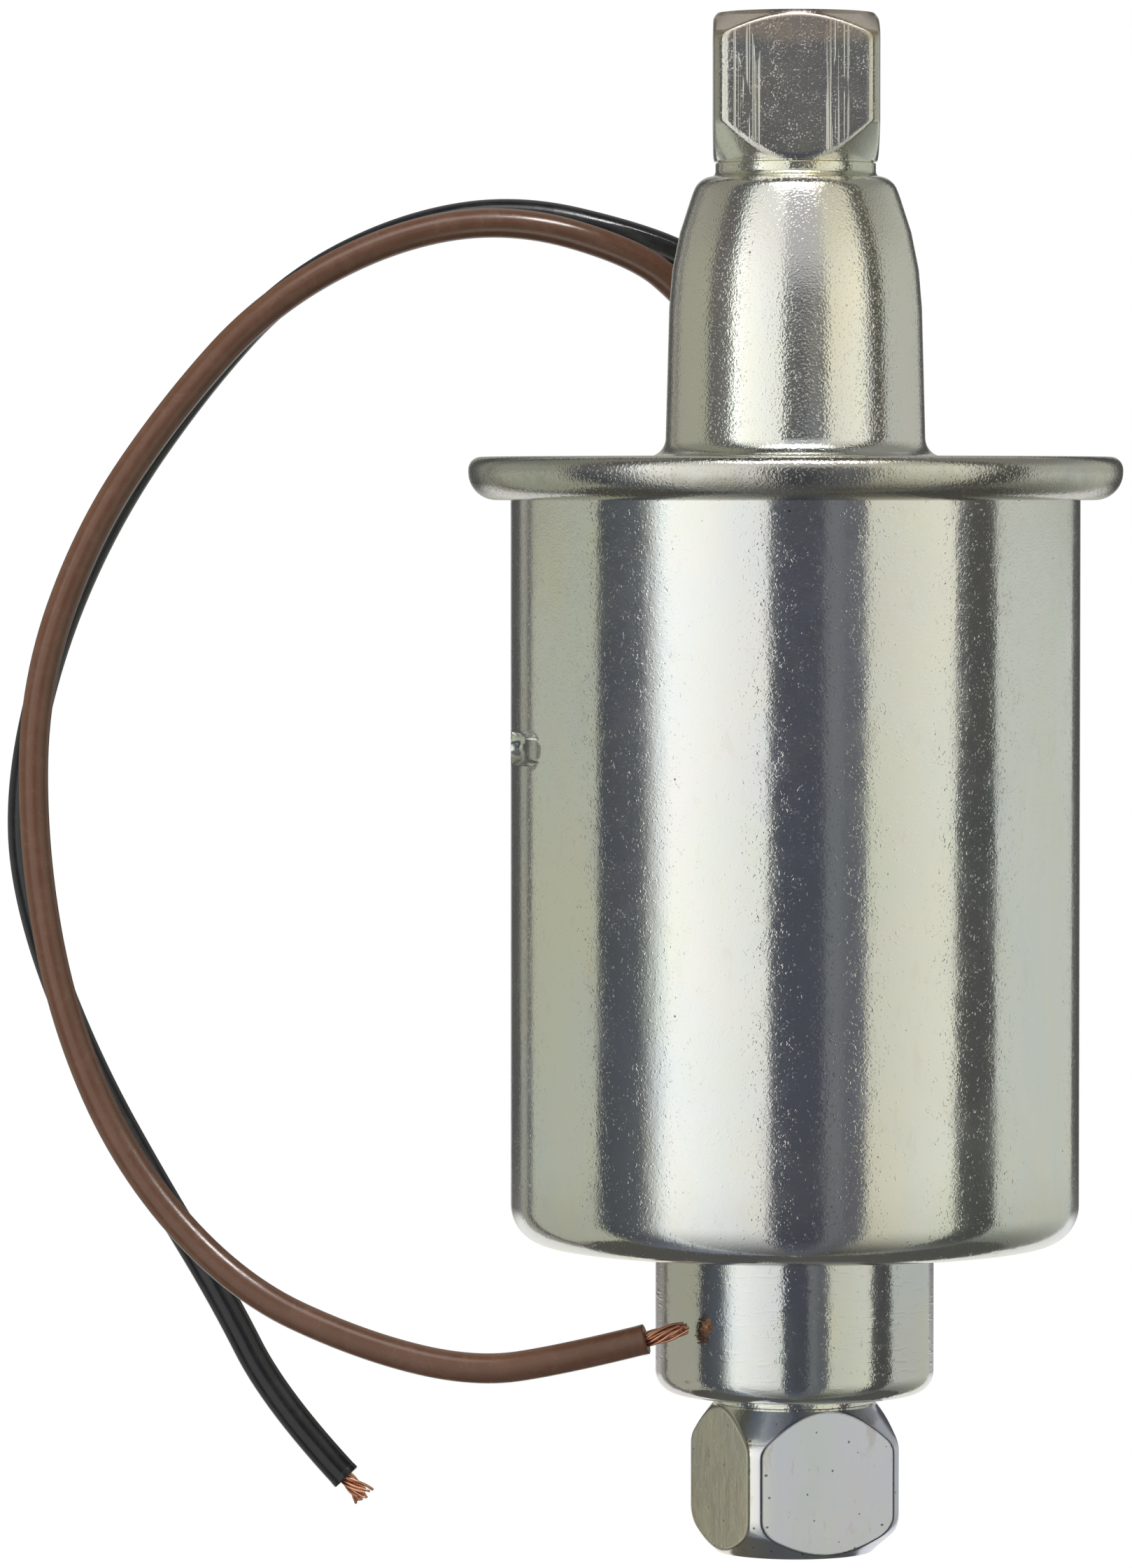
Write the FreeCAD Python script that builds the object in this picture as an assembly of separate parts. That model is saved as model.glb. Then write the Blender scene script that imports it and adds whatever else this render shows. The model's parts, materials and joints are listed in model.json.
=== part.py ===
import FreeCAD, Part
import math
import os

from FreeCAD import Vector

# Solenoid fuel pump, in line, with a drawn steel housing and two bare ended leads.
# Millimetres. The pump axis is Z, the outlet points up, and the origin is at the
# mouth of the inlet port. The leads leave the top plate and loop towards -X.

# Square port fittings
fitting_across_flats = 14.29
fitting_corner_radius = 9.53
fitting_height = 12.8
fitting_collar_radius = 7.1
inlet_collar_height = 1.0
outlet_collar_height = 1.3
fitting_back_bevel = 3.2
inlet_end_bevel = 2.4
outlet_end_bevel = 2.0
end_land = 0.35
bevel_crown = 0.12
inlet_fitting_turn = 22.3
outlet_fitting_turn = -0.5
port_radius = 4.37
port_depth = 9.6
passage_radius = 2.9
spigot_radius = 5.5
spigot_fit = 0.05
swage_radius = 6.7
swage_height = 0.9

# Inlet cup under the housing
cup_radius = 12.1
cup_sheet = 1.1
cup_depth = 13.0
cup_corner_radius = 1.95
cup_flange_bend = 0.55
cup_flange_radius = 16.0
cup_fit = 0.05

# Housing can
can_radius = 24.7
can_sheet = 1.0
can_length = 65.8
can_corner_radius = 3.4
can_lip_bend = 0.35

# Two dents that hold the coil stack down
dent_height_on_can = 43.15
dent_angle = 194.6
dent_floor_width = 7.6
dent_floor_height = 1.6
dent_slope = 0.7
dent_depth = 0.8

# Top cover: plate, rolled rim and bottle shaped neck
cover_sheet = 1.2
gasket_sheet = 0.35
rim_width = 3.68
rim_upper_round = 1.13
rim_lower_round = 2.42
rim_hem_gap = 0.4
neck_base_radius = 11.3
neck_base_fillet = 1.65
neck_shoulder_radius = 10.82
neck_shoulder_height = 17.87
neck_shoulder_round = 29.0
neck_top_radius = 8.35
neck_top_round = 1.8
neck_height = 24.25

# Strainer in the inlet cup
strainer_flange = 1.0
strainer_flange_radius = 15.8
strainer_mouth_radius = 5.2
screen_radius = 8.25
screen_sheet = 0.25
screen_depth = 11.0
strainer_rib_width = 1.2
strainer_rib_depth = 0.7
strainer_rib_count = 4
strainer_rib_angle = 45.0
strainer_foot = 0.7
magnet_radius = 5.5
magnet_bore_radius = 2.5
magnet_height = 2.2

# Base gasket and plunger tube
base_gasket_sheet = 0.5
tube_bore_radius = 6.6
tube_wall = 0.7
tube_flange_radius = 13.0
tube_flange_sheet = 0.7

# Magnet circuit and coil
pole_plate_thickness = 2.5
pole_plate_fit = 0.1
tube_fit = 0.05
bobbin_length = 32.0
bobbin_wall = 1.0
bobbin_flange_radius = 19.0
bobbin_flange = 1.2
winding_radius = 17.6
winding_fit = 0.1
wrap_sheet = 0.3
coil_tail_radius = 0.35
coil_tail_count = 3
coil_tail_ring = 13.0
coil_tail_angle = 150.0
coil_tail_step = 12.0
coil_tail_hole = 0.9
coil_tail_stand = 0.6

# Inlet valve at the foot of the tube
valve_fit = 0.05
inlet_seat_height = 3.8
inlet_seat_bore = 2.6
seat_lip_width = 0.7
seat_lip_height = 0.4
valve_gap = 0.1
inlet_disc_radius = 4.2
inlet_disc_sheet = 0.9
inlet_cage_bore = 5.3
inlet_cage_room = 5.0
cage_sheet = 0.6
cage_mouth = 1.2
cage_window_count = 4
cage_window_width = 1.6
cage_window_start = 2.2
cage_window_margin = 0.2
cage_rib_width = 1.2
guide_gap = 0.2
inlet_spring_wire = 0.25
inlet_spring_radius = 2.2
inlet_spring_turns = 3

# Plunger with its own outlet valve
plunger_fit = 0.05
plunger_length = 35.5
plunger_bore = 3.4
plunger_edge = 0.5
plunger_groove_depth = 0.4
plunger_groove_width = 1.2
plunger_groove_count = 3
plunger_groove_pitch = 8.0
plunger_first_groove = 9.0
plunger_stroke = 4.5
plunger_spring_wire = 0.8
plunger_spring_radius = 5.3
plunger_spring_turns = 6
plunger_spring_spare = 2.7
valve_pocket_depth = 9.4
valve_pocket_radius = 5.4
outlet_seat_height = 2.8
outlet_seat_bore = 2.2
outlet_disc_radius = 3.4
outlet_disc_sheet = 0.8
outlet_cage_bore = 4.3
outlet_cage_room = 4.2
outlet_spring_wire = 0.25
outlet_spring_radius = 1.9
outlet_spring_turns = 3
spring_end_gap = 0.05

# Upper stop, sleeve and seal
bumper_sheet = 1.5
bumper_bore = 4.4
bumper_gap = 0.1
stop_ring_sheet = 1.0
stop_ring_bore = 5.2
stop_ring_bite = 0.35
sleeve_wall = 1.1
sleeve_fit = 0.15
sleeve_collar_height = 1.1
sleeve_collar_gap = 0.2
sleeve_reach = 1.5
seal_zone = 3.0
seal_squeeze_gap = 0.03
tube_reach = 4.3

# Electronics above the coil
insulator_sheet = 0.8
insulator_gap = 1.3
board_gap = 1.7
board_sheet = 1.6
board_bore = 9.3
post_radius = 1.6
post_height = 5.3
post_ring = 18.8
post_angles = (60.0, 180.0, 300.0)
transistor_width = 10.2
transistor_length = 15.4
transistor_tab = 1.3
transistor_body_length = 9.2
transistor_body_height = 3.2
transistor_lean = 0.9
transistor_leg = 0.8
transistor_leg_pitch = 2.54
transistor_leg_reach = 1.6
transistor_hole_radius = 1.6
transistor_hole_inset = 2.55
component_wire = 0.35
component_wire_reach = 2.0
resistor_radius = 1.6
resistor_length = 9.0
resistor_ring = 15.0
resistor_angles = (193.0, 247.0)
diode_radius = 1.35
diode_length = 5.2
diode_ring = 17.0
diode_angle = 308.0
capacitor_radius = 3.2
capacitor_height = 8.4
capacitor_ring = 16.5
capacitor_angle = 128.0
capacitor_round = 0.6
solder_radius = 1.5
solder_height = 0.9
solder_tip_radius = 0.65

# Leads and the grommet that they leave through
lead_diameter = 2.6
grommet_radius = 5.0
grommet_neck_radius = 3.9
grommet_fit = 0.05
grommet_crown = 2.2
grommet_foot = 1.4
grommet_foot_radius = 4.5
grommet_round = 0.8
tail_slack = 1.2
tail_bend_share = 0.2
strand_count = 7
strand_radius = 0.2
strand_pitch = 0.43
brown_strand_length = 3.6
black_strand_length = 3.0
brown_strand_fan = 2.0
black_strand_fan = 9.0

# Limits of the model itself
cord_arc_share = 0.45
same_place = 1e-6
edge_pick_margin = 0.01

brown_route = [
    (-5.5, 17.6, 97.35), (-5.5, 17.6, 101.75), (-6.8, 17.2, 105.95), (-9.2, 16.5, 109.55),
    (-13.7, 15.1, 113.25), (-24.6, 12.4, 116.35), (-35.3, 10.6, 114.65), (-46.2, 8.6, 108.65),
    (-54.4, 6.9, 99.45), (-61.6, 5.4, 88.75), (-66.3, 3.7, 75.45), (-66.4, 1.9, 61.05),
    (-63.7, 0.1, 46.45), (-57.9, -2.0, 33.55), (-48.4, -4.1, 23.25), (-37.6, -6.0, 18.45),
    (-27.8, -7.6, 16.25), (-20.0, -8.7, 17.55), (-13.2, -9.6, 19.35),
]
black_route = [
    (-1.6, 18.9, 97.35), (-1.6, 18.9, 102.85), (-3.8, 18.5, 108.35), (-7.8, 17.8, 112.35),
    (-13.8, 16.8, 114.85), (-24.4, 15.4, 117.25), (-34.6, 14.0, 115.45), (-44.6, 12.6, 110.15),
    (-52.4, 11.4, 101.45), (-60.0, 10.2, 90.45), (-65.4, 9.0, 78.05), (-68.1, 7.8, 64.85),
    (-66.7, 6.6, 54.45), (-61.8, 5.2, 42.05), (-55.6, 3.8, 31.05), (-50.0, 2.6, 22.05),
    (-45.3, 1.7, 12.85), (-39.2, 0.9, 6.35),
]

# Heights that follow from the sizes above
cup_bottom = fitting_height + inlet_collar_height
can_bottom = cup_bottom + cup_depth
can_floor = can_bottom + can_sheet
cup_flange_top = can_floor + cup_sheet
strainer_top = cup_flange_top + strainer_flange
base_gasket_top = strainer_top + base_gasket_sheet
tube_bottom = base_gasket_top
lower_plate_bottom = tube_bottom + tube_flange_sheet
coil_bottom = lower_plate_bottom + pole_plate_thickness
coil_top = coil_bottom + bobbin_length
upper_plate_top = coil_top + pole_plate_thickness
lip_bottom = can_bottom + can_length
lip_top = lip_bottom + can_sheet
rim_radius = can_radius + rim_width
can_lip_radius = rim_radius - rim_lower_round
can_mouth_radius = cup_radius + cup_flange_bend + cup_fit
plate_bottom = lip_top + gasket_sheet
plate_top = plate_bottom + cover_sheet
neck_top = plate_top + neck_height
outlet_face = neck_top + outlet_collar_height + fitting_height
tube_radius = tube_bore_radius + tube_wall
can_bore_radius = can_radius - can_sheet
plate_radius = can_bore_radius - pole_plate_fit
inlet_seat_top = tube_bottom + inlet_seat_height
inlet_disc_bottom = inlet_seat_top + seat_lip_height + valve_gap
inlet_disc_top = inlet_disc_bottom + inlet_disc_sheet
inlet_cage_top = inlet_seat_top + inlet_cage_room + cage_sheet
plunger_spring_closed = plunger_spring_turns * plunger_spring_wire + plunger_spring_spare
plunger_bottom = inlet_cage_top + plunger_stroke + plunger_spring_closed
plunger_top = plunger_bottom + plunger_length
pocket_bottom = plunger_top - valve_pocket_depth
outlet_seat_top = pocket_bottom + outlet_seat_height
outlet_disc_bottom = outlet_seat_top + seat_lip_height + valve_gap
outlet_disc_top = outlet_disc_bottom + outlet_disc_sheet
outlet_cage_top = outlet_seat_top + outlet_cage_room + cage_sheet
bumper_bottom = plunger_top + bumper_gap
stop_ring_bottom = bumper_bottom + bumper_sheet
insulator_radius = can_bore_radius - insulator_gap
board_radius = can_bore_radius - board_gap
insulator_top = upper_plate_top + insulator_sheet
board_bottom = insulator_top + post_height
board_top = board_bottom + board_sheet
sleeve_bore = tube_radius + sleeve_fit
sleeve_radius = sleeve_bore + sleeve_wall
transistor_x = (sleeve_radius + can_bore_radius) / 2 - transistor_lean
transistor_y = -transistor_leg_reach / 2
sleeve_top = plate_top + sleeve_reach
tube_top = sleeve_top + tube_reach
neck_taper = (neck_base_radius - neck_shoulder_radius) / neck_shoulder_height
neck_bore_radius = neck_base_radius - cover_sheet - neck_taper * (sleeve_reach + seal_zone)
grommet_top = plate_top + grommet_crown
brown_mouth = Vector(*brown_route[0])
black_mouth = Vector(*black_route[0])
grommet_centre = (brown_mouth + black_mouth) * 0.5

z_axis = Vector(0, 0, 1)
nodes = {}


# Shape helpers

def cylinder(radius, bottom, top, centre=Vector(0, 0, 0)):
    base = Vector(centre.x, centre.y, bottom)
    return Part.makeCylinder(radius, top - bottom, base, z_axis)


def ring(outer, inner, bottom, top, centre=Vector(0, 0, 0)):
    return cylinder(outer, bottom, top, centre).cut(cylinder(inner, bottom, top, centre))


def box(size_x, size_y, bottom, top, centre_x=0.0, centre_y=0.0):
    corner = Vector(centre_x - size_x / 2, centre_y - size_y / 2, bottom)
    return Part.makeBox(size_x, size_y, top - bottom, corner)


def turned(shape, angle):
    copy = shape.copy()
    copy.rotate(Vector(0, 0, 0), z_axis, angle)
    return copy


def around(angle, distance):
    radians = math.radians(angle)
    return Vector(distance * math.cos(radians), distance * math.sin(radians), 0)


def top_edges(shape):
    top = shape.BoundBox.ZMax - edge_pick_margin
    return [edge for edge in shape.Edges if edge.CenterOfMass.z > top]


def corner_cut(before, corner, after, radius):
    """Tangent points and middle of the arc that rounds one corner of an outline."""
    to_before = (before - corner).normalize()
    to_after = (after - corner).normalize()
    half = math.acos(max(-1.0, min(1.0, to_before.dot(to_after)))) / 2
    reach = radius / math.tan(half)
    bisector = (to_before + to_after).normalize()
    middle = corner + bisector * (radius / math.sin(half) - radius)
    return corner + to_before * reach, middle, corner + to_after * reach


def rounded_face(corners):
    """Closed face in the XZ plane from corners (radius, height, rounding)."""
    points = [Vector(r, 0, z) for r, z, rounding in corners]
    count = len(corners)
    edges = []
    starts = []
    ends = []
    for index, corner in enumerate(points):
        rounding = corners[index][2]
        if rounding > 0:
            following = points[(index + 1) % count]
            first, middle, last = corner_cut(points[index - 1], corner, following, rounding)
            edges.append(Part.Arc(first, middle, last).toShape())
        else:
            first = last = corner
        starts.append(first)
        ends.append(last)
    for index in range(count):
        following = starts[(index + 1) % count]
        if (following - ends[index]).Length > same_place:
            edges.append(Part.LineSegment(ends[index], following).toShape())
    return Part.Face(Part.Wire(Part.__sortEdges__(edges)))


def revolved(corners):
    return rounded_face(corners).revolve(Vector(0, 0, 0), z_axis, 360)


def sheet_corners(path, thickness, side):
    """Outline of bent sheet: a path of corners and the same path set off by the thickness.

    The side is 1 where the metal lies left of the way the path runs, and -1 where right.
    """
    points = [Vector(r, z, 0) for r, z, rounding in path]
    normals = []
    for start, end in zip(points, points[1:]):
        along = (end - start).normalize()
        normals.append(Vector(-along.y, along.x, 0) * side)
    back = []
    for index, here in enumerate(points):
        rounding = path[index][2]
        if index == 0 or index == len(path) - 1:
            normal = normals[0] if index == 0 else normals[-1]
            shifted = here + normal * thickness
            back.append((shifted.x, shifted.y, 0))
            continue
        first, second = normals[index - 1], normals[index]
        shifted = here + (first + second) * (thickness / (1 + first.dot(second)))
        bend = (first.x * second.y - first.y * second.x) * side
        inside = rounding - thickness if bend > 0 else rounding + thickness
        back.append((shifted.x, shifted.y, max(inside, 0) if rounding > 0 else 0))
    return list(path) + back[::-1]


def helix_path(radius, bottom, top, turns):
    """Helix as biarcs of a quarter turn, each arc's middle from its control triangle."""
    steps = turns * 4
    rise = (top - bottom) / steps
    slope = rise * 4 / (2 * math.pi * radius)
    points = []
    tangents = []
    for step in range(steps + 1):
        angle = step * math.pi / 2
        points.append(Vector(radius * math.cos(angle), radius * math.sin(angle), bottom + rise * step))
        tangents.append(Vector(-math.sin(angle), math.cos(angle), slope).normalize())
    edges = []
    for index in range(steps):
        start, end = points[index], points[index + 1]
        leave, arrive = tangents[index], tangents[index + 1]
        chord = end - start
        both = leave + arrive
        square = both.dot(both) - 4
        linear = -2 * chord.dot(both)
        reach = (-linear - math.sqrt(linear * linear - 4 * square * chord.dot(chord))) / (2 * square)
        first_knee = start + leave * reach
        last_knee = end - arrive * reach
        joint = (first_knee + last_knee) * 0.5
        for a, knee, b in ((start, first_knee, joint), (joint, last_knee, end)):
            weight = math.cos((knee - a).getAngle(b - a))
            middle = (a + knee * (2 * weight) + b) * (1 / (2 + 2 * weight))
            edges.append(Part.Arc(a, middle, b).toShape())
    return Part.Wire(edges), points[0], tangents[0]


def swept(path, start, direction, radius):
    profile = Part.Wire([Part.Circle(start, direction, radius).toShape()])
    shell = Part.BRepOffsetAPI.MakePipeShell(path)
    shell.add(profile)
    shell.build()
    shell.makeSolid()
    return shell.shape()


def coil_spring(name, wire, radius, bottom, top, turns):
    path, start, direction = helix_path(radius, bottom + wire / 2, top - wire / 2, turns)
    print(name, "gap between coils", round((top - bottom - wire) / turns - wire, 2))
    return swept(path, start, direction, wire / 2)


def cord_path(points):
    """Straight runs joined by tangent arcs, each arc as large as its two runs allow."""
    edges = []
    radii = []
    previous = points[0]
    for before, corner, after in zip(points, points[1:], points[2:]):
        to_before = before - corner
        to_after = after - corner
        half_turn = (math.pi - to_before.getAngle(to_after)) / 2
        radius = cord_arc_share * min(to_before.Length, to_after.Length) / math.tan(half_turn)
        first, middle, last = corner_cut(before, corner, after, radius)
        edges.append(Part.LineSegment(previous, first).toShape())
        edges.append(Part.Arc(first, middle, last).toShape())
        radii.append(round(radius, 1))
        previous = last
    edges.append(Part.LineSegment(previous, points[-1]).toShape())
    return Part.Wire(edges), radii


def cord(name, route, diameter):
    points = [Vector(*point) for point in route]
    path, radii = cord_path(points)
    solid = swept(path, points[0], points[1] - points[0], diameter / 2)
    ideal = math.pi * diameter ** 2 / 4 * path.Length
    print(name, "length", round(path.Length, 1), "bend radii", radii)
    print(name, "volume over section times length", round(solid.Volume / ideal, 4))
    return solid


def node(name, shape):
    nodes[name] = shape


# Port fittings

def fitting(end_bevel, collar_height):
    """Square fitting standing on its end face at height 0, with its spigot on top."""
    half = fitting_across_flats / 2
    corner_end = fitting_height - fitting_back_bevel
    crown_radius = (half + fitting_corner_radius) / 2 + bevel_crown
    lower = Part.Arc(
        Vector(half, 0, end_land),
        Vector(crown_radius, 0, (end_land + end_bevel) / 2 - bevel_crown),
        Vector(fitting_corner_radius, 0, end_bevel),
    )
    upper = Part.Arc(
        Vector(fitting_corner_radius, 0, corner_end),
        Vector(crown_radius, 0, (corner_end + fitting_height) / 2 + bevel_crown),
        Vector(half, 0, fitting_height),
    )
    edges = [
        Part.LineSegment(Vector(0, 0, 0), Vector(half - end_land, 0, 0)).toShape(),
        Part.LineSegment(Vector(half - end_land, 0, 0), Vector(half, 0, end_land)).toShape(),
        lower.toShape(),
        Part.LineSegment(Vector(fitting_corner_radius, 0, end_bevel),
                         Vector(fitting_corner_radius, 0, corner_end)).toShape(),
        upper.toShape(),
        Part.LineSegment(Vector(half, 0, fitting_height), Vector(0, 0, fitting_height)).toShape(),
        Part.LineSegment(Vector(0, 0, fitting_height), Vector(0, 0, 0)).toShape(),
    ]
    blank = Part.Face(Part.Wire(edges)).revolve(Vector(0, 0, 0), z_axis, 360)
    block = blank.common(box(fitting_across_flats, fitting_across_flats, 0, fitting_height))
    collar_top = fitting_height + collar_height
    sheet = max(cup_sheet, cover_sheet)
    spigot_top = collar_top + sheet + swage_height
    block = block.fuse(cylinder(fitting_collar_radius, fitting_height, collar_top))
    block = block.fuse(cylinder(spigot_radius, collar_top, spigot_top))
    block = block.fuse(cylinder(swage_radius, collar_top + sheet, spigot_top))
    block = block.cut(cylinder(port_radius, 0, port_depth))
    return block.cut(cylinder(passage_radius, port_depth, spigot_top)).removeSplitter()


def build_fittings():
    node("inlet_fitting", turned(fitting(inlet_end_bevel, inlet_collar_height), inlet_fitting_turn))
    upper = turned(fitting(outlet_end_bevel, outlet_collar_height), -outlet_fitting_turn)
    upper.rotate(Vector(0, 0, 0), Vector(0, 1, 0), 180)
    upper.translate(Vector(0, 0, outlet_face))
    node("outlet_fitting", upper)


# Sheet metal housing

def build_cup():
    path = [
        (spigot_radius + spigot_fit, cup_bottom, 0),
        (cup_radius, cup_bottom, cup_corner_radius),
        (cup_radius, can_floor, cup_flange_bend),
        (cup_flange_radius, can_floor, 0),
    ]
    node("inlet_cup", revolved(sheet_corners(path, cup_sheet, 1)))


def dent(depth_more, side_more):
    """Wedge shaped dent tool at angle 0, its floor inside the can wall."""
    floor_x = can_radius - dent_depth - depth_more
    mouth_x = can_radius + can_sheet
    spread = dent_slope * (mouth_x - floor_x) / dent_depth
    middle = can_bottom + dent_height_on_can
    wires = []
    for x, grow in ((floor_x, side_more), (mouth_x, side_more + spread)):
        wide = dent_floor_width / 2 + grow
        tall = dent_floor_height / 2 + grow
        rectangle = [(-wide, -tall), (wide, -tall), (wide, tall), (-wide, tall), (-wide, -tall)]
        wires.append(Part.makePolygon([Vector(x, y, middle + z) for y, z in rectangle]))
    return Part.makeLoft(wires, True, True)


def build_can():
    path = [
        (can_mouth_radius, can_bottom, 0),
        (can_radius, can_bottom, can_corner_radius),
        (can_radius, lip_bottom, can_lip_bend),
        (can_lip_radius, lip_bottom, 0),
    ]
    can = revolved(sheet_corners(path, can_sheet, 1))
    inside = cylinder(can_radius - can_sheet / 2, can_bottom, lip_bottom)
    for angle in (dent_angle, dent_angle - 180):
        bulge = turned(dent(can_sheet, can_sheet / 2).common(inside), angle)
        can = can.fuse(bulge).cut(turned(dent(0, 0), angle))
    node("housing_can", can.removeSplitter())


def grommet_hole(bottom, top):
    return cylinder(grommet_neck_radius + grommet_fit, bottom, top, grommet_centre)


def build_cover():
    path = [
        (spigot_radius + spigot_fit, neck_top, 0),
        (neck_top_radius, neck_top, neck_top_round),
        (neck_shoulder_radius, plate_top + neck_shoulder_height, neck_shoulder_round),
        (neck_base_radius, plate_top, neck_base_fillet),
        (rim_radius, plate_top, rim_upper_round),
        (rim_radius, lip_bottom - cover_sheet, rim_lower_round),
        (can_radius + rim_hem_gap, lip_bottom - cover_sheet, 0),
    ]
    cover = revolved(sheet_corners(path, cover_sheet, -1))
    node("top_cover", cover.cut(grommet_hole(plate_bottom, plate_top)))
    gasket = ring(can_lip_radius, can_bore_radius, lip_top, plate_bottom)
    node("cover_gasket", gasket)


# Strainer and base seal

def build_strainer():
    top = cup_flange_top
    bottom = top - screen_depth
    frame = ring(strainer_flange_radius, strainer_mouth_radius, top, strainer_top)
    outer = screen_radius + strainer_rib_depth
    foot = ring(outer, screen_radius - strainer_rib_depth, bottom - strainer_foot, bottom)
    frame = frame.fuse(foot)
    for index in range(strainer_rib_count):
        rib = box(strainer_rib_depth + screen_sheet, strainer_rib_width, bottom, top,
                  screen_radius + (strainer_rib_depth + screen_sheet) / 2)
        rib = rib.cut(cylinder(screen_radius, bottom, top)).common(cylinder(outer, bottom, top))
        frame = frame.fuse(turned(rib, strainer_rib_angle + index * 360 / strainer_rib_count))
    node("strainer_frame", frame.removeSplitter())
    screen = cylinder(screen_radius, bottom, top)
    screen = screen.cut(cylinder(screen_radius - screen_sheet, bottom + screen_sheet, top))
    node("strainer_screen", screen)
    magnet_bottom = bottom + screen_sheet
    node("strainer_magnet", ring(magnet_radius, magnet_bore_radius, magnet_bottom,
                                 magnet_bottom + magnet_height))
    node("base_gasket", ring(cup_flange_radius, strainer_mouth_radius, strainer_top, base_gasket_top))


# Plunger tube, magnet circuit and coil

def tail_spots():
    return [around(coil_tail_angle + index * coil_tail_step, coil_tail_ring)
            for index in range(coil_tail_count)]


def with_tail_holes(shape, bottom, top):
    for spot in tail_spots():
        shape = shape.cut(cylinder(coil_tail_hole, bottom, top, spot))
    return shape


def build_tube():
    tube = ring(tube_radius, tube_bore_radius, tube_bottom, tube_top)
    flange = ring(tube_flange_radius, tube_bore_radius, tube_bottom, tube_bottom + tube_flange_sheet)
    groove = cylinder(tube_bore_radius + stop_ring_bite, stop_ring_bottom,
                      stop_ring_bottom + stop_ring_sheet)
    node("plunger_tube", tube.fuse(flange).cut(groove).removeSplitter())


def build_coil():
    hole = tube_radius + tube_fit
    node("lower_pole_plate", ring(plate_radius, hole, lower_plate_bottom, coil_bottom))
    upper = ring(plate_radius, hole, coil_top, upper_plate_top)
    node("upper_pole_plate", with_tail_holes(upper, coil_top, upper_plate_top))
    core_radius = hole + bobbin_wall
    bobbin = ring(core_radius, hole, coil_bottom, coil_top)
    for bottom in (coil_bottom, coil_top - bobbin_flange):
        bobbin = bobbin.fuse(ring(bobbin_flange_radius, hole, bottom, bottom + bobbin_flange))
    bobbin = with_tail_holes(bobbin.removeSplitter(), coil_top - bobbin_flange, coil_top)
    node("coil_bobbin", bobbin)
    low = coil_bottom + bobbin_flange + winding_fit
    high = coil_top - bobbin_flange - winding_fit
    node("coil_winding", ring(winding_radius, core_radius + winding_fit, low, high))
    node("coil_wrap", ring(winding_radius + wrap_sheet, winding_radius, low, high))
    tails = [cylinder(coil_tail_radius, high, board_top + coil_tail_stand, spot) for spot in tail_spots()]
    node("coil_tails", Part.makeCompound(tails))


# Valves, plunger and springs

def valve_seat(outer, bore, bottom, top):
    lip = ring(bore + seat_lip_width, bore, top, top + seat_lip_height)
    return ring(outer, bore, bottom, top).fuse(lip).removeSplitter()


def valve_cage(outer, bore, disc, bottom, room):
    """Cap with flow windows in its roof and ribs that guide the disc."""
    roof = bottom + room
    cage = ring(outer, bore, bottom, roof).fuse(ring(outer, cage_mouth, roof, roof + cage_sheet))
    window_reach = bore - cage_window_start - cage_window_margin
    for index in range(cage_window_count):
        angle = index * 360 / cage_window_count
        window = box(window_reach, cage_window_width, roof, roof + cage_sheet,
                     cage_window_start + window_reach / 2)
        cage = cage.cut(turned(window, angle))
        rib_depth = bore - disc - guide_gap
        rib = box(rib_depth, cage_rib_width, bottom, roof, disc + guide_gap + rib_depth / 2)
        cage = cage.fuse(turned(rib, angle + 180 / cage_window_count))
    return cage.removeSplitter()


def build_inlet_valve():
    outer = tube_bore_radius - valve_fit
    node("inlet_valve_seat", valve_seat(outer, inlet_seat_bore, tube_bottom, inlet_seat_top))
    node("inlet_valve_disc", cylinder(inlet_disc_radius, inlet_disc_bottom, inlet_disc_top))
    node("inlet_valve_cage", valve_cage(outer, inlet_cage_bore, inlet_disc_radius,
                                        inlet_seat_top, inlet_cage_room))
    node("inlet_valve_spring", coil_spring(
        "inlet_valve_spring", inlet_spring_wire, inlet_spring_radius,
        inlet_disc_top + spring_end_gap, inlet_cage_top - cage_sheet - spring_end_gap,
        inlet_spring_turns))


def build_plunger():
    radius = tube_bore_radius - plunger_fit
    corners = [
        (plunger_bore, plunger_bottom, 0), (radius - plunger_edge, plunger_bottom, 0),
        (radius, plunger_bottom + plunger_edge, 0), (radius, plunger_top - plunger_edge, 0),
        (radius - plunger_edge, plunger_top, 0), (valve_pocket_radius, plunger_top, 0),
        (valve_pocket_radius, pocket_bottom, 0), (plunger_bore, pocket_bottom, 0),
    ]
    body = revolved(corners)
    for index in range(plunger_groove_count):
        low = plunger_bottom + plunger_first_groove + index * plunger_groove_pitch
        groove = ring(radius + plunger_groove_depth, radius - plunger_groove_depth,
                      low, low + plunger_groove_width)
        body = body.cut(groove)
    node("plunger", body)
    node("plunger_spring", coil_spring(
        "plunger_spring", plunger_spring_wire, plunger_spring_radius,
        inlet_cage_top + spring_end_gap, plunger_bottom - spring_end_gap, plunger_spring_turns))


def build_outlet_valve():
    outer = valve_pocket_radius - valve_fit
    node("outlet_valve_seat", valve_seat(outer, outlet_seat_bore, pocket_bottom, outlet_seat_top))
    node("outlet_valve_disc", cylinder(outlet_disc_radius, outlet_disc_bottom, outlet_disc_top))
    node("outlet_valve_cage", valve_cage(outer, outlet_cage_bore, outlet_disc_radius,
                                         outlet_seat_top, outlet_cage_room))
    node("outlet_valve_spring", coil_spring(
        "outlet_valve_spring", outlet_spring_wire, outlet_spring_radius,
        outlet_disc_top + spring_end_gap, outlet_cage_top - cage_sheet - spring_end_gap,
        outlet_spring_turns))


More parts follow.
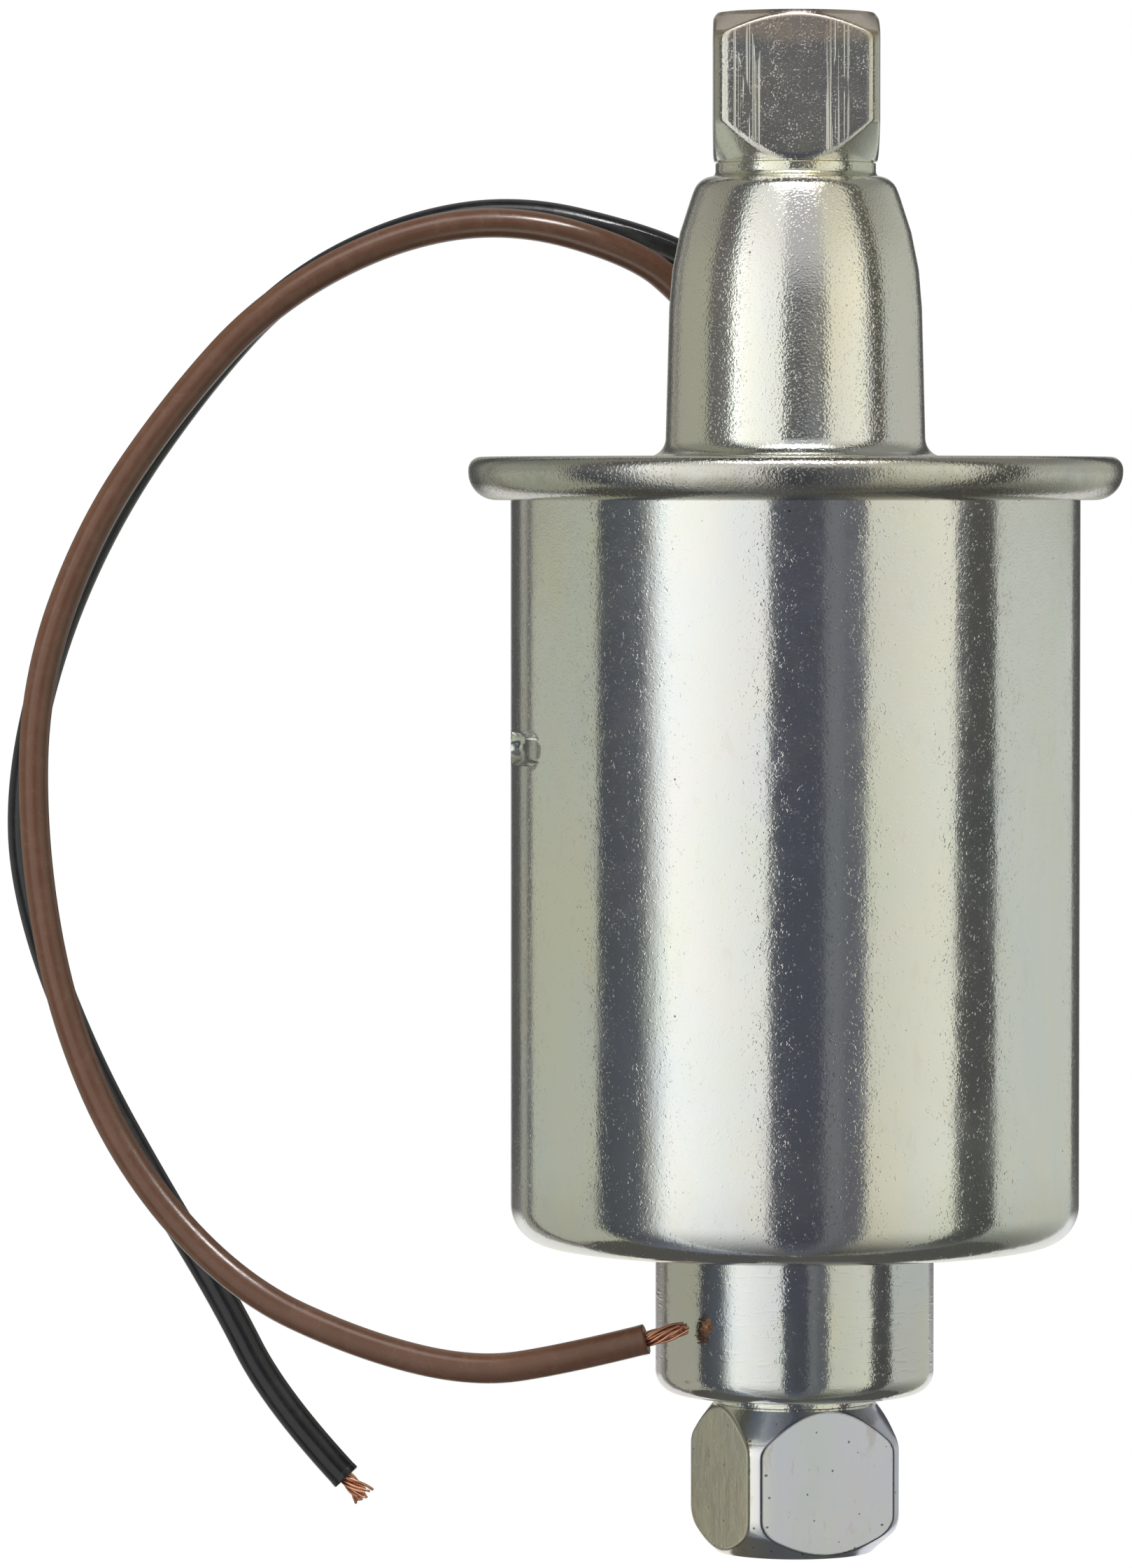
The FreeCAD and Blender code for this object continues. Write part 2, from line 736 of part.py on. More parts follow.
def build_stop():
    washer_outer = tube_bore_radius - plunger_fit
    node("bumper_washer", ring(washer_outer, bumper_bore, bumper_bottom, stop_ring_bottom))
    stop_outer = washer_outer + stop_ring_bite
    stop_top = stop_ring_bottom + stop_ring_sheet
    node("stop_ring", ring(stop_outer, stop_ring_bore, stop_ring_bottom, stop_top))
    collar_bottom = sleeve_top - sleeve_collar_height
    sleeve = ring(sleeve_radius, sleeve_bore, upper_plate_top, sleeve_top)
    collar = ring(neck_bore_radius - sleeve_collar_gap, sleeve_bore, collar_bottom, sleeve_top)
    node("spacer_sleeve", sleeve.fuse(collar).removeSplitter())
    seal_radius = (neck_bore_radius - tube_radius) / 2 - seal_squeeze_gap
    seal_ring = (neck_bore_radius + tube_radius) / 2
    centre = Vector(0, 0, sleeve_top + seal_radius)
    node("tube_seal", Part.makeTorus(seal_ring, seal_radius, centre, z_axis))


# Electronics

def axial_part(radius, length, distance, angle):
    """Axial component lying on the board, its wire bent down to the board at both ends."""
    height = board_top + radius
    reach = length / 2 + component_wire_reach
    body = Part.makeCylinder(radius, length, Vector(distance, -length / 2, height), Vector(0, 1, 0))
    bends = [Vector(distance, y, z) for y, z in
             ((-reach, board_top), (-reach, height), (reach, height), (reach, board_top))]
    wire = swept(cord_path(bends)[0], bends[0], z_axis, component_wire)
    return turned(body.fuse(wire).removeSplitter(), angle)


def build_board():
    insulator = ring(insulator_radius, sleeve_radius + tube_fit, upper_plate_top, insulator_top)
    node("insulating_disc", with_tail_holes(insulator, upper_plate_top, insulator_top))
    posts = [cylinder(post_radius, insulator_top, board_bottom, around(angle, post_ring))
             for angle in post_angles]
    node("board_posts", Part.makeCompound(posts))
    board = ring(board_radius, board_bore, board_bottom, board_top)
    node("circuit_board", with_tail_holes(board, board_bottom, board_top))


def build_components():
    tab_top = board_top + transistor_tab
    body_top = tab_top + transistor_body_height
    body_y = transistor_y + (transistor_length - transistor_body_length) / 2
    shape = box(transistor_width, transistor_length, board_top, tab_top, transistor_x, transistor_y)
    shape = shape.fuse(box(transistor_width, transistor_body_length, tab_top, body_top,
                           transistor_x, body_y))
    hole = Vector(transistor_x, transistor_y - transistor_length / 2 + transistor_hole_inset, 0)
    shape = shape.cut(cylinder(transistor_hole_radius, board_top, tab_top, hole))
    leg_start = transistor_y + transistor_length / 2
    for index in (-1, 0, 1):
        x = transistor_x + index * transistor_leg_pitch
        leg = box(transistor_leg, transistor_leg_reach, tab_top, tab_top + transistor_leg,
                  x, leg_start + transistor_leg_reach / 2)
        foot = box(transistor_leg, transistor_leg, board_top, tab_top,
                   x, leg_start + transistor_leg_reach - transistor_leg / 2)
        shape = shape.fuse(leg).fuse(foot)
    node("power_transistor", shape.removeSplitter())
    resistors = [axial_part(resistor_radius, resistor_length, resistor_ring, angle)
                 for angle in resistor_angles]
    node("resistors", Part.makeCompound(resistors))
    node("clamp_diode", axial_part(diode_radius, diode_length, diode_ring, diode_angle))
    spot = around(capacitor_angle, capacitor_ring)
    can = cylinder(capacitor_radius, board_top, board_top + capacitor_height, spot)
    node("capacitor", can.makeFillet(capacitor_round, top_edges(can)))


# Leads

def build_grommet():
    centre = grommet_centre
    foot_bottom = plate_bottom - grommet_foot
    crown = cylinder(grommet_radius, plate_top, grommet_top, centre)
    shape = crown.makeFillet(grommet_round, top_edges(crown))
    shape = shape.fuse(cylinder(grommet_neck_radius, plate_bottom, plate_top, centre))
    shape = shape.fuse(cylinder(grommet_foot_radius, foot_bottom, plate_bottom, centre))
    for mouth in (brown_mouth, black_mouth):
        hole = cylinder(lead_diameter / 2 + grommet_fit, foot_bottom, grommet_top, mouth)
        shape = shape.cut(hole)
    node("lead_grommet", shape.removeSplitter())


def build_tails():
    """Lead ends inside the housing, from the board up through the grommet."""
    solder_top = board_top + solder_height
    grommet_bottom = plate_bottom - grommet_foot
    drop = grommet_bottom - solder_top
    blobs = []
    for name, mouth, lean in (("lead_tail_brown", brown_mouth, -1), ("lead_tail_black", black_mouth, 1)):
        route = [
            (mouth.x, mouth.y, grommet_top),
            (mouth.x, mouth.y, grommet_bottom - drop * tail_bend_share),
            (mouth.x + lean * tail_slack, mouth.y, solder_top + drop / 2),
            (mouth.x, mouth.y, solder_top + drop * tail_bend_share),
            (mouth.x, mouth.y, solder_top),
        ]
        node(name, cord(name, route, lead_diameter))
        foot = Vector(mouth.x, mouth.y, board_top)
        blobs.append(Part.makeCone(solder_radius, solder_tip_radius, solder_height, foot, z_axis))
    node("solder_joints", Part.makeCompound(blobs))


def strands(route, length, fan):
    """Bare wire strands at a lead's end: one in the middle and the rest around it."""
    end = Vector(*route[-1])
    along = (end - Vector(*route[-2])).normalize()
    across = along.cross(z_axis).normalize()
    upward = across.cross(along)
    wires = [Part.makeCylinder(strand_radius, length, end, along)]
    for index in range(strand_count - 1):
        angle = 2 * math.pi * index / (strand_count - 1)
        out = across * math.cos(angle) + upward * math.sin(angle)
        lean = along + out * math.tan(math.radians(fan))
        wires.append(Part.makeCylinder(strand_radius, length, end + out * strand_pitch, lean))
    return Part.makeCompound(wires)


def build_leads():
    node("lead_brown", cord("lead_brown", brown_route, lead_diameter))
    node("lead_black", cord("lead_black", black_route, lead_diameter))
    node("lead_brown_strands", strands(brown_route, brown_strand_length, brown_strand_fan))
    node("lead_black_strands", strands(black_route, black_strand_length, black_strand_fan))


def main():
    build_fittings()
    build_cup()
    build_can()
    build_cover()
    build_strainer()
    build_tube()
    build_coil()
    build_inlet_valve()
    build_plunger()
    build_outlet_valve()
    build_stop()
    build_board()
    build_components()
    build_grommet()
    build_tails()
    build_leads()
    os.makedirs("parts", exist_ok=True)
    for name, shape in nodes.items():
        if not shape.isValid():
            print(name, "isn't valid")
        shape.exportStep(os.path.join("parts", name + ".step"))
    print(len(nodes), "nodes, overall height", round(outlet_face, 2))


main()
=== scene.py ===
"""Looks of an in-line solenoid fuel pump, built around its packed construction model.

The pump stands on the Z axis with its inlet port's mouth at the origin. Outlines and
sizes are in millimetres and become metres where a mesh is made.
"""

import json
import logging
import math
import random
from dataclasses import dataclass
from enum import Enum
from typing import Any

import bmesh
import bpy
from mathutils import Matrix, Vector


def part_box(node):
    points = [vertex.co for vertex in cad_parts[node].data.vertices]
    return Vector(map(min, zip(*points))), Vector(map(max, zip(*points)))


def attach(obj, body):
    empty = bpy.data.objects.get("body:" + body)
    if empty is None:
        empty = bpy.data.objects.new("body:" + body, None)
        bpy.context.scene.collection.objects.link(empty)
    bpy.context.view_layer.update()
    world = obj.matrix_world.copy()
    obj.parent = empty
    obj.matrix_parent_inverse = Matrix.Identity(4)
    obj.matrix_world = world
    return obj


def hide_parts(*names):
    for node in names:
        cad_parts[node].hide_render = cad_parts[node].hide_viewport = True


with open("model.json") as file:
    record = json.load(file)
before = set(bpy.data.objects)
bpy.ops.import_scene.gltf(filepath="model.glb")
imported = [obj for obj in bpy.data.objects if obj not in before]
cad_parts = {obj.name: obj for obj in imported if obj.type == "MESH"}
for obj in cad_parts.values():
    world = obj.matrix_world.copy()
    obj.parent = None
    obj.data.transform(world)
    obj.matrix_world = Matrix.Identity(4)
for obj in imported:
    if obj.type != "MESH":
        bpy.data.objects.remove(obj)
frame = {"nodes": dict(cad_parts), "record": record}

MM = 0.001
PHOTO_HEIGHT = 2241
BODY = "pump_body"
EDGE_ATTRIBUTE = "edge"
ARC_STEP = 7.0
FEWEST_ARC_STEPS = 3
WELD = 1e-4

log = logging.getLogger("fuel_pump")

# A corner of an outline is its radius, its height and its rounding.
Corner = tuple[float, float, float]
Place = tuple[float, float, float]
Colour = tuple[float, float, float]


class Side(Enum):
    """Where sheet metal lies, seen along the way that its outline runs."""

    LEFT = 1
    RIGHT = -1


class Way(Enum):
    """Direction in which the zones of a finish are measured."""

    OUTWARD = 0
    RIGHTWARD = 1
    UPWARD = 2


# Node graphs and shared effects


class Graph:
    """Adds and joins shader nodes in one node tree."""

    def __init__(self, tree: bpy.types.NodeTree) -> None:
        """Starts on an empty tree."""
        self.tree = tree
        self.tree.nodes.clear()

    def fill(self, node: bpy.types.Node, inputs: dict[Any, Any]) -> None:
        """Sets a node's inputs, or joins them where a socket is given.

        Args:
            node: The node.
            inputs: Input name or number to a value or to the socket that feeds it.
        """
        for key, value in inputs.items():
            if isinstance(value, bpy.types.NodeSocket):
                self.tree.links.new(value, node.inputs[key])
            else:
                node.inputs[key].default_value = value

    def add(self, kind: str, inputs: dict[Any, Any] | None = None, **settings: Any) -> bpy.types.Node:
        """Adds a node, sets its properties and fills its inputs.

        Args:
            kind: The node's type, such as ShaderNodeMath.
            inputs: Input name or number to a value or to the socket that feeds it.
            settings: The node's own properties.

        Returns:
            The new node.
        """
        node = self.tree.nodes.new(kind)
        for key, value in settings.items():
            setattr(node, key, value)
        self.fill(node, inputs or {})
        return node

    def object_place(self) -> bpy.types.NodeSocket:
        """Place on the object, in metres."""
        return self.add("ShaderNodeTexCoord").outputs["Object"]

    def split(self, vector: bpy.types.NodeSocket) -> list[bpy.types.NodeSocket]:
        """The three parts of a vector."""
        return list(self.add("ShaderNodeSeparateXYZ", {0: vector}).outputs)

    def maths(self, operation: str, first: Any, second: Any = 0.0, third: Any = 0.0) -> bpy.types.NodeSocket:
        """Joins a Math node and returns its value."""
        node = self.add("ShaderNodeMath", {0: first, 1: second, 2: third}, operation=operation)
        return node.outputs[0]

    def vector(self, operation: str, inputs: dict[Any, Any]) -> bpy.types.NodeSocket:
        """Joins a Vector Math node and returns its vector."""
        return self.add("ShaderNodeVectorMath", inputs, operation=operation).outputs["Vector"]

    def from_axis(self, parts: list[bpy.types.NodeSocket]) -> bpy.types.NodeSocket:
        """Distance from the Z axis of a place that is given by its parts."""
        flat = self.add("ShaderNodeCombineXYZ", {0: parts[0], 1: parts[1]}).outputs[0]
        return self.add("ShaderNodeVectorMath", {0: flat}, operation="LENGTH").outputs["Value"]

    def spread(self, value: Any, low: float, high: float, to_low: float = 0.0,
               to_high: float = 1.0) -> bpy.types.NodeSocket:
        """Maps a value's range onto another, smoothly and clamped.

        Args:
            value: The value, mostly a socket.
            low: Where the value's range starts.
            high: Where it ends.
            to_low: The result at its start.
            to_high: The result at its end.

        Returns:
            The result.
        """
        node = self.add("ShaderNodeMapRange", {
            "Value": value, "From Min": low, "From Max": high, "To Min": to_low, "To Max": to_high,
        }, interpolation_type="SMOOTHSTEP")
        return node.outputs["Result"]

    def blend(self, factor: Any, first: Any, second: Any, how: str = "MIX") -> bpy.types.NodeSocket:
        """Mixes two colours, which are inputs 6 and 7 and output 2 of a Mix node."""
        node = self.add("ShaderNodeMix", {0: factor, 6: first, 7: second}, data_type="RGBA", blend_type=how)
        return node.outputs[2]

    def noise(self, place: Any, per_mm: Any, detail: float = 2.0, rough: float = 0.5,
              squeeze: Place = (1.0, 1.0, 1.0), shift: Place = (0.0, 0.0, 0.0),
              swirl: float = 0.0) -> bpy.types.NodeSocket:
        """Noise over a place.

        Args:
            place: The place, in metres.
            per_mm: Its cells per millimetre, as a number or a socket.
            detail: How many finer layers it has.
            rough: How strong the finer layers are.
            squeeze: A factor on each axis.
            shift: How far it is moved, in metres.
            swirl: How much it is distorted.

        Returns:
            The noise, from 0 to 1.
        """
        if isinstance(per_mm, bpy.types.NodeSocket):
            scale = self.maths("MULTIPLY", per_mm, 1 / MM)
        else:
            scale = per_mm / MM
        mapped = self.add("ShaderNodeMapping", {"Vector": place, "Location": shift, "Scale": squeeze})
        node = self.add("ShaderNodeTexNoise", {
            "Vector": mapped.outputs[0], "Scale": scale, "Detail": detail, "Roughness": rough,
            "Distortion": swirl})
        return node.outputs["Fac"]

    def bump(self, height: Any, distance: float, strength: float = 1.0) -> bpy.types.NodeSocket:
        """Turns a height into the surface's normal.

        Args:
            height: The height, mostly a socket.
            distance: What a height of 1 stands for, in millimetres.
            strength: How much of it shows.

        Returns:
            The normal.
        """
        node = self.add("ShaderNodeBump", {
            "Strength": strength, "Distance": distance * MM, "Height": height})
        return node.outputs[0]


def new_group(name: str, inputs: dict[str, float], outputs: dict[str, str]) -> tuple[
        Graph, dict[str, bpy.types.NodeSocket], bpy.types.Node]:
    """Starts a shader node group whose inputs are numbers.

    Args:
        name: The group's name.
        inputs: Input name to its default.
        outputs: Output name to its socket type.

    Returns:
        A graph on the group's tree, what is given to the group by name, and its output node.
    """
    tree = bpy.data.node_groups.new(name, "ShaderNodeTree")
    for label, default in inputs.items():
        socket = tree.interface.new_socket(label, in_out="INPUT", socket_type="NodeSocketFloat")
        socket.default_value = default
    for label, kind in outputs.items():
        tree.interface.new_socket(label, in_out="OUTPUT", socket_type=kind)
    graph = Graph(tree)
    start = graph.add("NodeGroupInput")
    end = graph.add("NodeGroupOutput")
    return graph, {label: start.outputs[label] for label in inputs}, end


def wrapped_place(graph: Graph, radius: bpy.types.NodeSocket) -> bpy.types.NodeSocket:
    """Object coordinates unrolled round the pump's axis, in metres.

    Args:
        graph: The graph that the nodes go into.
        radius: Radius in millimetres at which a pattern keeps its true width.

    Returns:
        Way round, depth and height.
    """
    parts = graph.split(graph.object_place())
    angle = graph.maths("ARCTAN2", parts[1], parts[0])
    around = graph.maths("MULTIPLY", graph.maths("MULTIPLY", angle, MM), radius)
    depth = graph.from_axis(parts)
    return graph.add("ShaderNodeCombineXYZ", {0: around, 1: depth, 2: parts[2]}).outputs[0]


@dataclass(frozen=True)
class Dashes:
    """Short dashes: the cells per millimetre that hold them, and their size in such cells."""

    per_mm: float
    length: float
    width: float
    shortest: float = 0.05


PLATING_BASE = (0.90, 0.90, 0.87)
PLATING_TINTS = ((0.93, 0.90, 0.76), (0.82, 0.88, 0.92), (0.91, 0.88, 0.86), (0.86, 0.90, 0.80))
TINT_SHIFT = (0.013, 0.007, 0.019)
HILL_FOOT = 0.59
NICK_ROWS = (Dashes(1.7, 0.34, 0.075), Dashes(0.9, 0.30, 0.045))
NICK_SHIFT = (0.1, 0.2, 0.0)
DASH_CORE_LENGTH = 0.6
DASH_CORE_WIDTH = 0.4
PITS_PER_MM = 0.4
SMALLEST_PIT = 0.012
PIT_SPREAD = 0.032
SCRATCHED_FROM_AXIS = 7.05
SCRATCHED_STRIPS = ((-4.4, 1.4), (3.3, 1.2))
STRIP_CORE = 0.7
RAGGED_EDGE = 2.5


class Effects:
    """Node groups that more than one finish uses, each built once."""

    def __init__(self) -> None:
        """Builds every group."""
        self.plating_tint = self._plating_tint()
        self.orange_peel = self._orange_peel()
        self.nicks = self._nicks()
        self.fine_lines = self._fine_lines()
        self.scratches = self._scratches()
        self.distances = self._distances()
        self.smudges = self._smudges()
        self.stains = self._stains()

    @staticmethod
    def _plating_tint() -> bpy.types.NodeTree:
        """Faint yellow, blue and pink patches of a passivated zinc plating.

        Returns:
            The group.
        """
        graph, given, end = new_group(
            "plating_tint", {"Patches per mm": 0.08, "Strength": 1.0}, {"Colour": "NodeSocketColor"})
        place = graph.object_place()
        colour = graph.add("ShaderNodeRGB").outputs[0]
        colour.default_value = (*PLATING_BASE, 1.0)
        for index, tint in enumerate(PLATING_TINTS):
            shift = tuple(step * index for step in TINT_SHIFT)
            cloud = graph.noise(place, given["Patches per mm"], 4.0, 0.6, (1.0, 1.0, 0.55), shift, 0.4)
            mask = graph.maths("MULTIPLY", graph.spread(cloud, 0.46, 0.68), given["Strength"])
            colour = graph.blend(mask, colour, (*tint, 1.0))
        graph.fill(end, {0: colour})
        return graph.tree

    @staticmethod
    def _orange_peel() -> bpy.types.NodeTree:
        """Height of the soft ripple, sandy grain, hills and short creases on plated sheet.

        Returns:
            The group.
        """
        graph, given, end = new_group(
            "orange_peel",
            {"Ripple": 1.0, "Grain": 1.0, "Gather": 0.0, "Creases": 0.0, "Hills": 0.0, "Hills per mm": 5.0},
            {"Height": "NodeSocketFloat"})
        place = graph.object_place()
        broad = graph.noise(place, 0.9, squeeze=(1.0, 1.0, 0.7))
        fine = graph.maths("SUBTRACT", graph.noise(place, 5.0, 1.0), 0.5)
        bumps = graph.noise(place, given["Hills per mm"], 1.0)
        hills = graph.maths("MAXIMUM", graph.maths("SUBTRACT", bumps, HILL_FOOT), 0.0)
        patches = graph.spread(graph.noise(place, 0.8, 3.0, 0.6), 0.45, 0.62)
        creases = graph.spread(graph.noise(place, 1.1, 1.0, squeeze=(0.35, 0.35, 2.4)), 0.56, 0.74)
        even = graph.maths("SUBTRACT", 1.0, given["Gather"])
        share = graph.maths("MULTIPLY_ADD", patches, given["Gather"], even)
        fine = graph.maths("MULTIPLY", fine, given["Grain"])
        fine = graph.maths("MULTIPLY_ADD", hills, given["Hills"], fine)
        fine = graph.maths("MULTIPLY", fine, share)
        height = graph.maths("MULTIPLY_ADD", broad, given["Ripple"], fine)
        height = graph.maths("MULTIPLY_ADD", creases, given["Creases"], height)
        graph.fill(end, {0: height})
        return graph.tree

    @staticmethod
    def _dash_mask(graph: Graph, flat: bpy.types.NodeSocket, row: Dashes,
                   share: bpy.types.NodeSocket) -> bpy.types.NodeSocket:
        """Mask of dashes that lie every way, one at most in each cell.

        Args:
            graph: The graph that the nodes go into.
            flat: The place on the unrolled surface, in metres.
            row: The dashes' spacing and size.
            share: The share of the cells that hold one.

        Returns:
            The mask.
        """
        cells = graph.add("ShaderNodeTexVoronoi", {"Vector": flat, "Scale": row.per_mm / MM},
                          voronoi_dimensions="2D")
        here = graph.vector("SCALE", {0: flat, "Scale": row.per_mm / MM})
        centre = graph.vector("SCALE", {0: cells.outputs["Position"], "Scale": row.per_mm / MM})
        away = graph.vector("SUBTRACT", {0: here, 1: centre})
        dice = graph.split(cells.outputs["Color"])
        turned_away = graph.add("ShaderNodeVectorRotate", {
            "Vector": away, "Angle": graph.maths("MULTIPLY", dice[0], math.pi)}, rotation_type="Z_AXIS")
        parts = graph.split(turned_away.outputs[0])
        reach = graph.maths("MULTIPLY_ADD", dice[1], row.length, row.shortest)
        along = graph.maths("DIVIDE", graph.maths("ABSOLUTE", parts[0]), reach)
        across = graph.maths("ABSOLUTE", parts[1])
        dash = graph.maths("MULTIPLY", graph.spread(along, DASH_CORE_LENGTH, 1.0, 1.0, 0.0),
                           graph.spread(across, row.width * DASH_CORE_WIDTH, row.width, 1.0, 0.0))
        return graph.maths("MULTIPLY", dash, graph.maths("LESS_THAN", dice[2], share))

    @classmethod
    def _nicks(cls) -> bpy.types.NodeTree:
        """Masks of short dashes that lie every way, and of small pits.

        Returns:
            The group.
        """
        graph, given, end = new_group(
            "nicks", {"Nick share": 0.5, "Pit share": 0.5, "Radius": 10.0},
            {"Nicks": "NodeSocketFloat", "Pits": "NodeSocketFloat"})
        place = wrapped_place(graph, given["Radius"])
        flat = graph.add("ShaderNodeMapping", {"Vector": place, "Rotation": (math.pi / 2, 0, 0)}).outputs[0]
        masks = []
        for index, row in enumerate(NICK_ROWS):
            shift = tuple(step * index for step in NICK_SHIFT)
            moved = graph.vector("ADD", {0: flat, 1: shift})
            masks.append(cls._dash_mask(graph, moved, row, given["Nick share"]))
        pits = graph.add("ShaderNodeTexVoronoi", {"Vector": flat, "Scale": PITS_PER_MM / MM},
                         voronoi_dimensions="2D")
        dice = graph.split(pits.outputs["Color"])
        size = graph.maths("MULTIPLY_ADD", dice[1], PIT_SPREAD, SMALLEST_PIT)
        dots = graph.maths("LESS_THAN", pits.outputs["Distance"], size)
        chosen = graph.maths("LESS_THAN", dice[0], given["Pit share"])
        graph.fill(end, {0: graph.maths("MAXIMUM", *masks), 1: graph.maths("MULTIPLY", dots, chosen)})
        return graph.tree

    @staticmethod
    def _fine_lines() -> bpy.types.NodeTree:
        """Fine lines that a turning tool leaves round the axis.

        Returns:
            The group.
        """
        graph, given, end = new_group(
            "fine_lines", {"Lines per mm": 4.0, "Radius": 4.0}, {"Lines": "NodeSocketFloat"})
        place = wrapped_place(graph, given["Radius"])
        graph.fill(end, {0: graph.noise(place, given["Lines per mm"], 2.0, 0.7, (0.02, 1.0, 1.0))})
        return graph.tree

    @staticmethod
    def _scratches() -> bpy.types.NodeTree:
        """Height of long straight scratches up the flats of a square piece, in two strips.

        Returns:
            The group.
        """
        graph, given, end = new_group("scratches", {"Depth": 1.0}, {"Height": "NodeSocketFloat"})
        parts = graph.split(graph.object_place())
        sideways = graph.maths("ABSOLUTE", parts[0])
        forward = graph.maths("ABSOLUTE", parts[1])
        facing = graph.maths("GREATER_THAN", forward, sideways)
        across = graph.maths("MULTIPLY_ADD", graph.maths("SUBTRACT", parts[0], parts[1]), facing, parts[1])
        flat = graph.add("ShaderNodeCombineXYZ", {0: across, 2: parts[2]}).outputs[0]
        lines = graph.spread(graph.noise(flat, 7.0, 1.0, squeeze=(1.0, 1.0, 0.004)), 0.47, 0.60)
        lengths = graph.spread(graph.noise(flat, 1.4, 1.0, squeeze=(1.0, 1.0, 0.10)), 0.42, 0.50)
        strips = []
        for middle, half in SCRATCHED_STRIPS:
            away = graph.maths("ABSOLUTE", graph.maths("SUBTRACT", across, middle * MM))
            strips.append(graph.spread(away, half * MM * STRIP_CORE, half * MM, 1.0, 0.0))
        mask = graph.maths("MAXIMUM", *strips)
        furthest = graph.maths("MAXIMUM", forward, sideways)
        on_flat = graph.maths("GREATER_THAN", furthest, SCRATCHED_FROM_AXIS * MM)
        for factor in (on_flat, lines, lengths, given["Depth"]):
            mask = graph.maths("MULTIPLY", mask, factor)
        graph.fill(end, {0: mask})
        return graph.tree

    @staticmethod
    def _distances() -> bpy.types.NodeTree:
        """Distance from the pump's axis and to its right, and ragged height, in millimetres.

        Returns:
            The group.
        """
        graph, _, end = new_group("distances", {}, {
            "Outward": "NodeSocketFloat", "Rightward": "NodeSocketFloat", "Upward": "NodeSocketFloat"})
        place = graph.object_place()
        parts = graph.split(place)
        ragged = graph.maths("SUBTRACT", graph.noise(place, 0.6, 3.0, 0.6), 0.5)
        upward = graph.maths("MULTIPLY_ADD", ragged, RAGGED_EDGE * MM, parts[2])
        for index, value in enumerate((graph.from_axis(parts), parts[0], upward)):
            graph.fill(end, {index: graph.maths("MULTIPLY", value, 1 / MM)})
        return graph.tree

    @staticmethod
    def _stains() -> bpy.types.NodeTree:
        """Mask of a few small upright stains.

        Returns:
            The group.
        """
        graph, given, end = new_group("stains", {"Share": 1.0}, {"Mask": "NodeSocketFloat"})
        cloud = graph.noise(graph.object_place(), 0.55, 4.0, 0.65, (1.0, 1.0, 0.45))
        graph.fill(end, {0: graph.maths("MULTIPLY", graph.spread(cloud, 0.58, 0.70), given["Share"])})
        return graph.tree

    @staticmethod
    def _smudges() -> bpy.types.NodeTree:
        """Mask of cloudy handling marks.

        Returns:
            The group.
        """
        graph, given, end = new_group(
            "smudges", {"Patches per mm": 0.12}, {"Mask": "NodeSocketFloat"})
        cloud = graph.noise(graph.object_place(), given["Patches per mm"], 6.0, 0.7, swirl=0.8)
        graph.fill(end, {0: graph.spread(cloud, 0.40, 0.68)})
        return graph.tree

    @staticmethod
    def place(graph: Graph, tree: bpy.types.NodeTree, **values: float) -> bpy.types.Node:
        """Adds one of the groups to a material.

        Args:
            graph: The material's graph.
            tree: The group.
            values: Input name, with a low line for each space, to its value.

        Returns:
            The group's node.
        """
        node = graph.add("ShaderNodeGroup", node_tree=tree)
        for key, value in values.items():
            node.inputs[key.replace("_", " ")].default_value = value
        return node


# Finishes


def new_material(name: str) -> tuple[bpy.types.Material, Graph, bpy.types.Node]:
    """Starts a material with one Principled shader.

    Args:
        name: The material's name.

    Returns:
        The material, a graph on its tree and the shader node.
    """
    material = bpy.data.materials.new(name)
    material.use_nodes = True
    graph = Graph(material.node_tree)
    shader = graph.add("ShaderNodeBsdfPrincipled")
    graph.add("ShaderNodeOutputMaterial", {"Surface": shader.outputs[0]})
    return material, graph, shader


@dataclass(frozen=True)
class Zone:
    """Part of a surface that is tinted, darker or duller than the rest; some zones are painted shade.

    It starts at a distance in millimetres and is whole one step further on. A negative step
    runs the other way.
    """

    way: Way
    start: float
    step: float
    shade: Colour = (1.0, 1.0, 1.0)
    roughness: float = 0.0


STAIN = (0.70, 0.58, 0.42)
PIT_FLOOR = (0.10, 0.09, 0.08)
PIT_DARKNESS = 0.8


